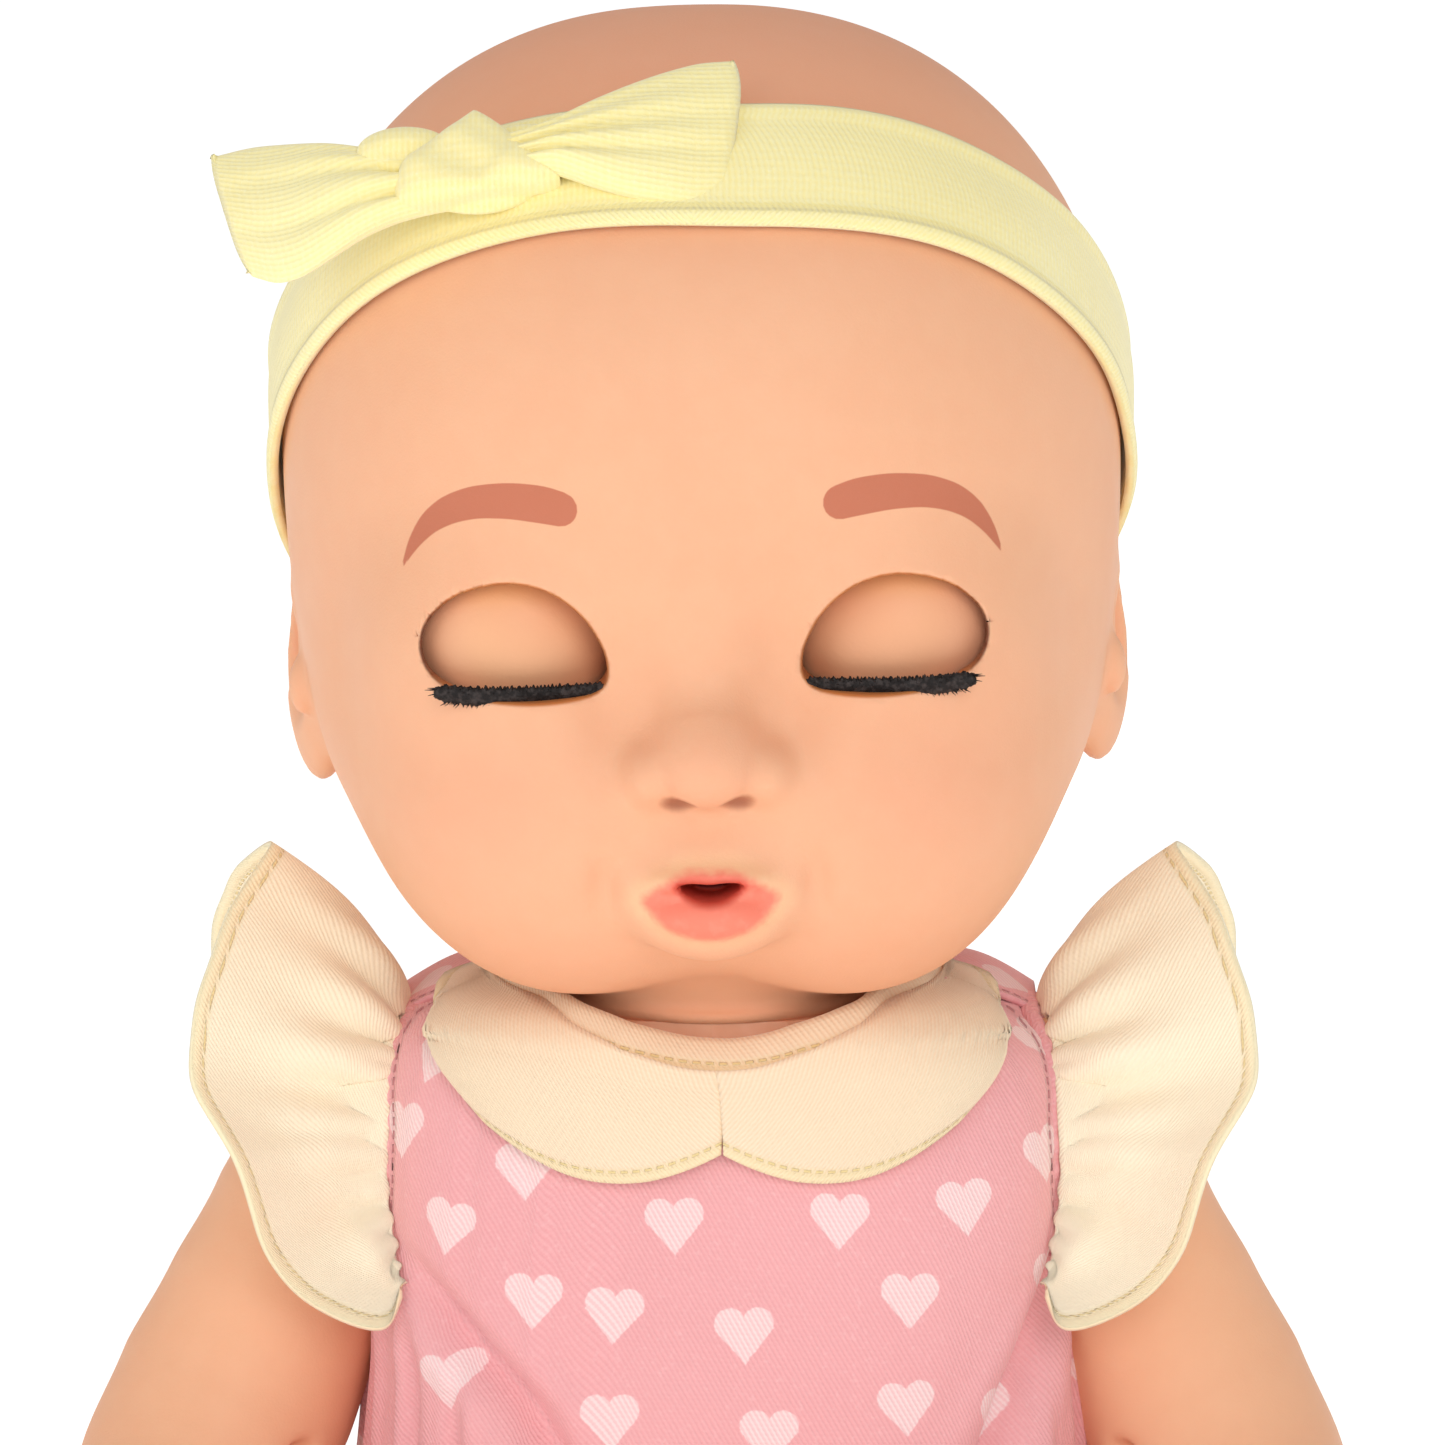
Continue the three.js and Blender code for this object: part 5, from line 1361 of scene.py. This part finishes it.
# the collar's outer edge on the doll's left: [x, height] from the notch to the shoulder
COLLAR_EDGE = [
    (0.2, 89.6), (2.8, 88.3), (5.6, 87.2), (9, 86.2), (12.5, 85.9), (16, 86.1), (19.5, 87.0),
    (23, 88.7), (26.2, 90.9), (29, 93.6), (31.4, 96.6), (33.2, 99.6), (34.2, 102.2), (34.7, 103.5),
]


def make_collar():
    along = 90
    edge = np.array(COLLAR_EDGE, float)
    t = np.linspace(0, len(edge) - 1, along)
    ex = np.interp(t, np.arange(len(edge)), edge[:, 0])
    ez = np.interp(t, np.arange(len(edge)), edge[:, 1])
    for _ in range(8):
        ex[1:-1] = (ex[:-2] + 2 * ex[1:-1] + ex[2:]) / 4
        ez[1:-1] = (ez[:-2] + 2 * ez[1:-1] + ez[2:]) / 4
    share = np.linspace(0, 1, along)
    for name, side in SIDES:
        outer_angle = angle_at(ex, ez)
        inner_angle = np.radians(-0.9 + 91 * share**0.95)
        inner_z = neck_edge(inner_angle) + 0.2
        across = np.linspace(0, 1, 26)
        angle = inner_angle + (outer_angle - inner_angle) * across[:, None]
        z = inner_z + (ez - inner_z) * across[:, None]
        lift = 1.5 + 0.35 * np.sin(across[:, None] * 3.1) + 0.16 * np.sin(9 * angle)
        lift = lift - 0.45 * across[:, None] ** 3 + (0.35 if side > 0 else 0) * np.exp(
            -np.abs(angle) * 20)
        grid = on_romper(side * angle, z, lift)
        # the clothes' own shift is kept, so both halves meet at the notch
        width = np.linalg.norm(grid[-1] - grid[0], axis=1)
        from_edge = (1 - across[:, None]) * width
        seam = from_edge - 1.55
        run = np.cumsum(np.r_[0, np.linalg.norm(np.diff(grid[-1], axis=0), axis=1)])
        run = np.repeat(run[None], len(across), 0)
        piece = cloth(f"{name}_collar_cloth", grid, 0.85, looks["collar_cotton_shaded"],
                      flip=side < 0, values={"seam": seam, "run": run})
        settle(piece, "torso", "cream_cotton", f"{name}_collar")


def make_neckband():
    """the folded binding round the neckline, standing up inside the collar"""
    cols = 220
    angle = np.linspace(-math.pi, math.pi, cols, endpoint=False)
    profile = [(1.3, -1.2), (1.9, 0.2), (1.6, 1.6), (0.9, 3.0), (0.1, 4.2), (-0.8, 4.8),
               (-1.6, 4.2), (-1.7, 2.8), (-1.3, 0.9), (-0.6, -1.0)]
    base = on_romper(angle, neck_edge(angle))
    inward = base * np.array([1, 1, 0]) - np.array([SHIFT * 0.6, 0, 0])
    inward = -inward / np.linalg.norm(inward, axis=1)[:, None]
    front = np.clip(np.cos(angle), 0, 1) ** 2
    tall = 0.40 + 0.38 * np.clip(1.6 * np.cos(angle) + 0.35, 0, 1)
    rows = []
    for out, up in profile:
        wave = 0.10 * np.sin(13 * angle) + 0.08 * np.sin(29 * angle)
        lean = 0.15 + 0.22 * front
        rows.append(base - inward * (out - lean * up * tall / 0.78 + wave)[:, None]
                    + np.stack([0 * angle, 0 * angle, up * tall], 1))
    grid = np.array(rows + rows[:1])
    height = np.array([p[1] for p in profile + profile[:1]])
    outside = np.array([p[0] for p in profile + profile[:1]]) > 0
    seam = np.where(outside, height - 1.7, 9)[:, None] + 0 * angle
    run = 26 * angle + 0 * seam
    band = cloth("neckline_binding", grid, 0.4, looks["collar_cotton_shaded"], wrap=True,
                 values={"seam": seam, "run": run}, flip=False)
    settle(band, "torso", "cream_cotton", "neckline_band")


def make_placket():
    z = np.linspace(40, 103.5, 90)[:, None]
    x = np.linspace(-7, 7, 30)[None]
    a = math.pi - angle_at(x + 0 * z, z + 0 * x)
    a = np.where(a > math.pi, a - 2 * math.pi, a)
    z = z + 0 * x
    grid = on_romper(a, z, garment_folds(a, z) + 0.85 + 0.1 * np.sin(z * 0.9))
    across = np.abs(grid[..., 0] - grid[..., :1, 0])
    width = across[:, -1:]
    seam = np.minimum(across, width - across) - 1.4
    piece = cloth("back_placket_cloth", grid, 0.8, looks["pink_hearts"], hearts=hearts,
                  values={"seam": seam, "run": z})
    settle(piece, "torso", "pink_hearts", "back_placket")


# the sleeve's hem: [degrees round the armhole from the back, across, depth, height]
SLEEVE_HEM = [
    (-48, 41.6, 22, 69.6), (-44, 42.8, 24.5, 67.0), (-36, 46, 26.5, 66.0), (-24, 52, 27.5, 69),
    (-10, 58.5, 29.5, 77.5), (5, 62.5, 30.0, 88), (25, 66.2, 27.5, 98), (45, 67.2, 21.5, 107),
    (65, 64.0, 11.5, 115.5), (82, 59.5, 3.0, 121), (90, 57.8, 0.0, 122.2), (98, 59.0, -3.6, 121),
    (115, 63.5, -12, 115.5), (135, 67.0, -21, 106.5), (155, 66.4, -27, 97.5), (175, 62.2, -30, 87.5),
    (190, 58.4, -30, 78), (204, 53.0, -28.5, 70.2), (215, 46.5, -28.0, 65.8),
    (223, 42.4, -28.2, 65.2), (227, 41.2, -27.2, 66.6), (230, 40.8, -25.0, 69.4),
]


# the sleeve's seam, in the same way
SLEEVE_SEAM = [
    (-48, 41.8, 17.5, 72.0), (-20, 42.4, 16.8, 78.5), (0, 43.0, 17.0, 84.6), (45, 42.4, 12.0, 96.8),
    (90, 41.2, 0, 101.6), (135, 42.0, -12.0, 96.8), (180, 43.0, -17.0, 84.6),
    (200, 42.6, -17.8, 78.5), (216, 41.8, -20.0, 73.6), (230, 41.0, -23.0, 70.6),
]
SLEEVE_SHIFT = {"left": 0.9, "right": 2.0}


def eased(points, count, rounds):
    """a smooth line through control points; the first column is the place along it"""
    points = np.array(points, float)
    at = np.linspace(points[0, 0], points[-1, 0], count)
    line = np.stack([np.interp(at, points[:, 0], points[:, k])
                     for k in range(1, points.shape[1])], 1)
    for _ in range(rounds):
        line[1:-1] = (line[:-2] + 2 * line[1:-1] + line[2:]) / 4
    return at, line


def make_sleeves():
    """gathered at the armhole and flaring outwards like a wing"""
    rows, cols = 40, 300
    degrees, line = eased(SLEEVE_HEM, cols, 26)
    _, seam_line = eased(SLEEVE_SEAM, cols, 60)
    high = ARMHOLE[0]
    phi = np.radians(degrees)
    v = np.linspace(0, 1, rows)[:, None, None]
    # cloth leaves the seam outwards along the arm, then bends up into the flare
    crown = (np.maximum(np.sin(phi), 0) ** 3)[None, :, None]
    axial = v ** (0.85 + 0.75 * crown)
    radial = crown * v**0.9 + (1 - crown) * (0.5 * v**1.1 + 0.5 * v**2)
    grid = np.zeros((rows, cols, 3))
    grid[..., 0] = (seam_line[None] + (line - seam_line)[None] * axial)[..., 0]
    grid[..., 1:] = (seam_line[None] + (line - seam_line)[None] * radial)[..., 1:]
    v = v[..., 0]
    p = phi[None]
    top = np.maximum(np.sin(p), 0) ** 6
    ends = np.clip((139 - np.abs(degrees - 91)) / 16, 0, 1)[None]
    fine = np.sin(31 * p + 1.3 * np.sin(5 * p)) * np.exp(-((v - 0.08) / 0.17) ** 2)
    medium = np.sin(13 * p + 2.1 * np.sin(3 * p)) * np.exp(-((v - 0.30) / 0.25) ** 2)
    other = np.sin(21 * p + 1.0 + 1.5 * np.sin(4 * p)) * np.exp(-((v - 0.45) / 0.35) ** 2)
    broad = np.sin(6.4 * p + 0.9 + 0.6 * np.sin(2 * p)) * v**1.6 * (1 - 0.9 * top)
    start = np.clip(v / 0.04, 0, 1)
    wave = 0.34 * fine * start + 0.95 * medium + 0.30 * other + 1.15 * broad
    grid = grid + (wave * ends)[..., None] * grid_normals(grid, False)
    away = np.hypot(grid[..., 1], grid[..., 2] - high)
    push = np.maximum(16.9 - away, 0) / np.maximum(away, 1)
    grid[..., 1] += push * grid[..., 1]
    grid[..., 2] += push * (grid[..., 2] - high)
    length = np.concatenate([np.zeros((1, cols)), np.cumsum(
        np.linalg.norm(np.diff(grid, axis=0), axis=2), 0)])
    seam = (length[-1:] - length) - 1.7
    run = away * p
    for name, side in SIDES:
        sleeve = grid if side > 0 else flipped(grid)
        sleeve = sleeve + np.array([SLEEVE_SHIFT[name], 0, 0])
        piece = cloth(f"{name}_sleeve_cloth", sleeve, 0.75, looks["cream_cotton"],
                      flip=side > 0, values={"seam": seam, "run": run})
        settle(piece, f"{name}_arm", "cream_cotton", f"{name}_flutter_sleeve")


def make_armhole_seams():
    """the turned seam where each sleeve is sewn in, a soft cord round the armhole"""
    high, wide, tall = ARMHOLE
    turn = np.linspace(0, 2 * math.pi, 150, endpoint=False)
    for name, side in SIDES:
        z = high + (tall + 0.1) * np.sin(turn)
        y = (wide + 0.1) * np.cos(turn)
        a, b, middle, power = section(np.minimum(z, 100.6))
        x = a * (1 - np.clip(np.abs((y - middle) / b), 0, 1) ** power) ** (1 / power)
        line = np.stack([side * (x - 0.8) + SHIFT, y, z], 1)
        around = np.linspace(0, 2 * math.pi, 14, endpoint=False)
        outward = np.stack([0 * turn, np.cos(turn), np.sin(turn)], 1)
        grid = np.zeros((len(turn), len(around), 3))
        for k, a_k in enumerate(around):
            size = 1.0 + 0.10 * np.sin(40 * turn + 2 * np.sin(3 * turn))
            grid[:, k] = (line + (size * 0.95 * np.cos(a_k))[:, None] * outward
                          + (size * 1.0 * np.sin(a_k))[:, None] * np.array([side * 1.0, 0, 0]))
        grid = np.concatenate([grid, grid[:1]])
        piece = cloth(f"{name}_armhole_seam", grid, 0.3, looks["pink_hearts"], wrap=True,
                      hearts=[], flip=side < 0,
                      values={"seam": np.full(grid.shape[:2], 9.0),
                              "run": np.zeros(grid.shape[:2])})
        settle(piece, "torso", "pink_hearts")


def make_straps():
    """the back of the romper comes over each shoulder and is sewn down along its front edge"""
    for name, side in SIDES:
        across = np.linspace(0, 1, 40)[None]
        along = np.linspace(0, 1, 30)[:, None]
        # from the neck out to the armhole; the front edge slants back towards the armhole
        x = 24.0 + 16.4 * across
        front = -9.8 + 6.6 * across**1.3
        y = front + (13.0 - front) * along
        z = 107.9 - 0.4 * across - 5.5 * across**2.1 - 0.9 * (1 - along) ** 4
        z = z - 1.6 * (1 - across) ** 2 * np.clip(along * 2, 0, 1)
        z = z - 0.9 * np.clip((along - 0.6) / 0.4, 0, 1) ** 2 + 0.12 * np.sin(9 * across + 3 * along)
        grid = np.stack([side * x + SHIFT * 0.8 + 0 * along, y, z], -1)
        run = x + 0 * along
        seam = (y - front) - 0.9
        printed = [heart_at(grid, 9, 30, False, 12 * side)]
        piece = cloth(f"{name}_shoulder_strap", grid, 0.9, looks["pink_hearts"], hearts=printed,
                      flip=side < 0, values={"seam": seam, "run": run})
        settle(piece, "torso", "pink_hearts")


def leg_frames(stations, count):
    """centres, radii and sideways directions along a leg"""
    stations = np.array(stations, float)
    t = np.linspace(0, len(stations) - 1, count)
    fine = np.stack([np.interp(t, np.arange(len(stations)), stations[:, k]) for k in range(4)], 1)
    for _ in range(10):
        fine[1:-1] = (fine[:-2] + 2 * fine[1:-1] + fine[2:]) / 4
    ahead = np.gradient(fine[:, :3], axis=0)
    ahead /= np.linalg.norm(ahead, axis=1)[:, None]
    side = np.cross(ahead, [0, 0, 1.0])
    side /= np.linalg.norm(side, axis=1)[:, None]
    return fine, side, np.cross(side, ahead)


ROMPER_LEG = [
    (24, 6, 25, 15), (27, 0, 25, 19.2), (30, -8, 24.6, 21.6), (33.5, -18, 23.8, 22.2),
    (37, -29, 22.6, 21.6), (40, -38, 21.4, 19.6), (41.6, -43.0, 20.8, 17.6),
    (42.4, -45.4, 20.5, 17.9),
]


def make_romper_legs():
    rows, cols = 64, 190
    fine, side_way, up_way = leg_frames(ROMPER_LEG, rows)
    turn = np.linspace(0, 2 * math.pi, cols, endpoint=False)
    t = np.linspace(0, 1, rows)[:, None]
    cuff = np.exp(-((t - 0.9) / 0.07) ** 2)
    near_cuff = np.clip((t - 0.45) / 0.4, 0, 1)
    gathers = near_cuff * (0.55 * np.sin(26 * turn + 2 * np.sin(3 * turn))
                           + 0.35 * np.sin(43 * turn + 1)) * (1 - 0.4 * cuff)
    soft = 0.6 * np.sin(5 * turn + 6 * t) * np.sin(math.pi * t)
    # pressed in where the arm lies against it
    pressed = 2.6 * np.exp(-((turn - 2.5) / 0.7) ** 2) * np.exp(-((t - 0.52) / 0.3) ** 2)
    radius = fine[:, 3][:, None] + gathers + soft - 0.3 * cuff - pressed
    grid = (fine[:, None, :3]
            + (radius * np.cos(turn))[..., None] * side_way[:, None]
            + (radius * np.sin(turn))[..., None] * up_way[:, None])
    grid[..., 2] = np.where(grid[..., 2] < 1.2, 1.2 - 0.25 * np.tanh((1.2 - grid[..., 2]) / 3),
                            grid[..., 2])
    places = []
    for row, start in ((20, 5), (31, 24), (42, 8)):
        for n, col in enumerate(range(start, cols, 38)):
            places.append((row, col, 6 * math.sin(n * 2.3 + row)))
    along = np.cumsum(np.r_[0, np.linalg.norm(np.diff(fine[:, :3], axis=0), axis=1)])
    seam = np.repeat((along - along[-1] + 4.6)[:, None], cols, 1)
    run = np.repeat((turn * 18)[None], rows, 0)
    for name, side in SIDES:
        leg = grid if side > 0 else flipped(grid)
        printed = [heart_at(leg, r, c, True, tilt) for r, c, tilt in places]
        piece = cloth(f"{name}_romper_leg_cloth", leg, 0.8, looks["pink_hearts"], wrap=True,
                      hearts=printed, flip=side > 0, values={"seam": seam, "run": run})
        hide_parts(f"{name}_romper_leg")
        start = np.array([side * 24, 4, 26]) * MM
        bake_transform(piece)


hearts = romper_hearts()
make_romper()
make_collar()
make_neckband()
make_placket()
make_armhole_seams()
make_straps()
make_sleeves()
make_romper_legs()

# ---------------------------------------------------------------------- stage

bpy.context.view_layer.update()


def floor():
    bpy.ops.mesh.primitive_plane_add(size=6, location=(0, 0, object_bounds()[0][2] - 0.0002))
    plane = bpy.context.object
    plane.name = "studio_floor"
    look = Look("studio_white", Roughness=0.9, Emission_Strength=0.5)
    look.shader.inputs["Emission Color"].default_value = (1, 1, 1, 1)
    look.colour(rgb(252, 251, 250))
    plane.data.materials.append(look.material)
    plane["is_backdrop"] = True


def area_light(name, place, target, size, power, colour=(1, 1, 1)):
    light = bpy.data.lights.new(name, "AREA")
    light.shape = "DISK"
    light.size = size
    light.energy = power
    light.color = colour
    lamp = bpy.data.objects.new(name, light)
    lamp.location = place
    away = Vector(target) - Vector(place)
    lamp.rotation_euler = away.to_track_quat("-Z", "Y").to_euler()
    bpy.context.scene.collection.objects.link(lamp)


floor()
FACE = (0, -0.03, 0.13)
area_light("key", (0.25, -1.3, 0.75), FACE, 0.8, 5.5)
area_light("fill", (-0.9, -0.9, 0.5), FACE, 0.9, 2.4)
area_light("top", (0.0, 0.5, 1.5), FACE, 1.2, 2.0)

world = bpy.data.worlds.new("studio")
bpy.context.scene.world = world
world.use_nodes = True
world.node_tree.nodes["Background"].inputs["Color"].default_value = (1, 1, 1, 1)
world.node_tree.nodes["Background"].inputs["Strength"].default_value = 0.53
bpy.context.scene.view_settings.view_transform = "Standard"

CAMERA_AWAY = 1.1
CAMERA_UP = math.radians(12)
CAMERA_TARGET = Vector((0.0013, 0, 0.1378))
camera = bpy.data.objects.new("camera", bpy.data.cameras.new("camera"))
camera.data.sensor_width = 36
camera.data.lens = 216.5
way = Vector((0, -math.cos(CAMERA_UP), math.sin(CAMERA_UP)))
camera.location = CAMERA_TARGET + CAMERA_AWAY * way
camera.rotation_euler = (-way).to_track_quat("-Z", "Y").to_euler()
bpy.context.scene.collection.objects.link(camera)
bpy.context.scene.camera = camera
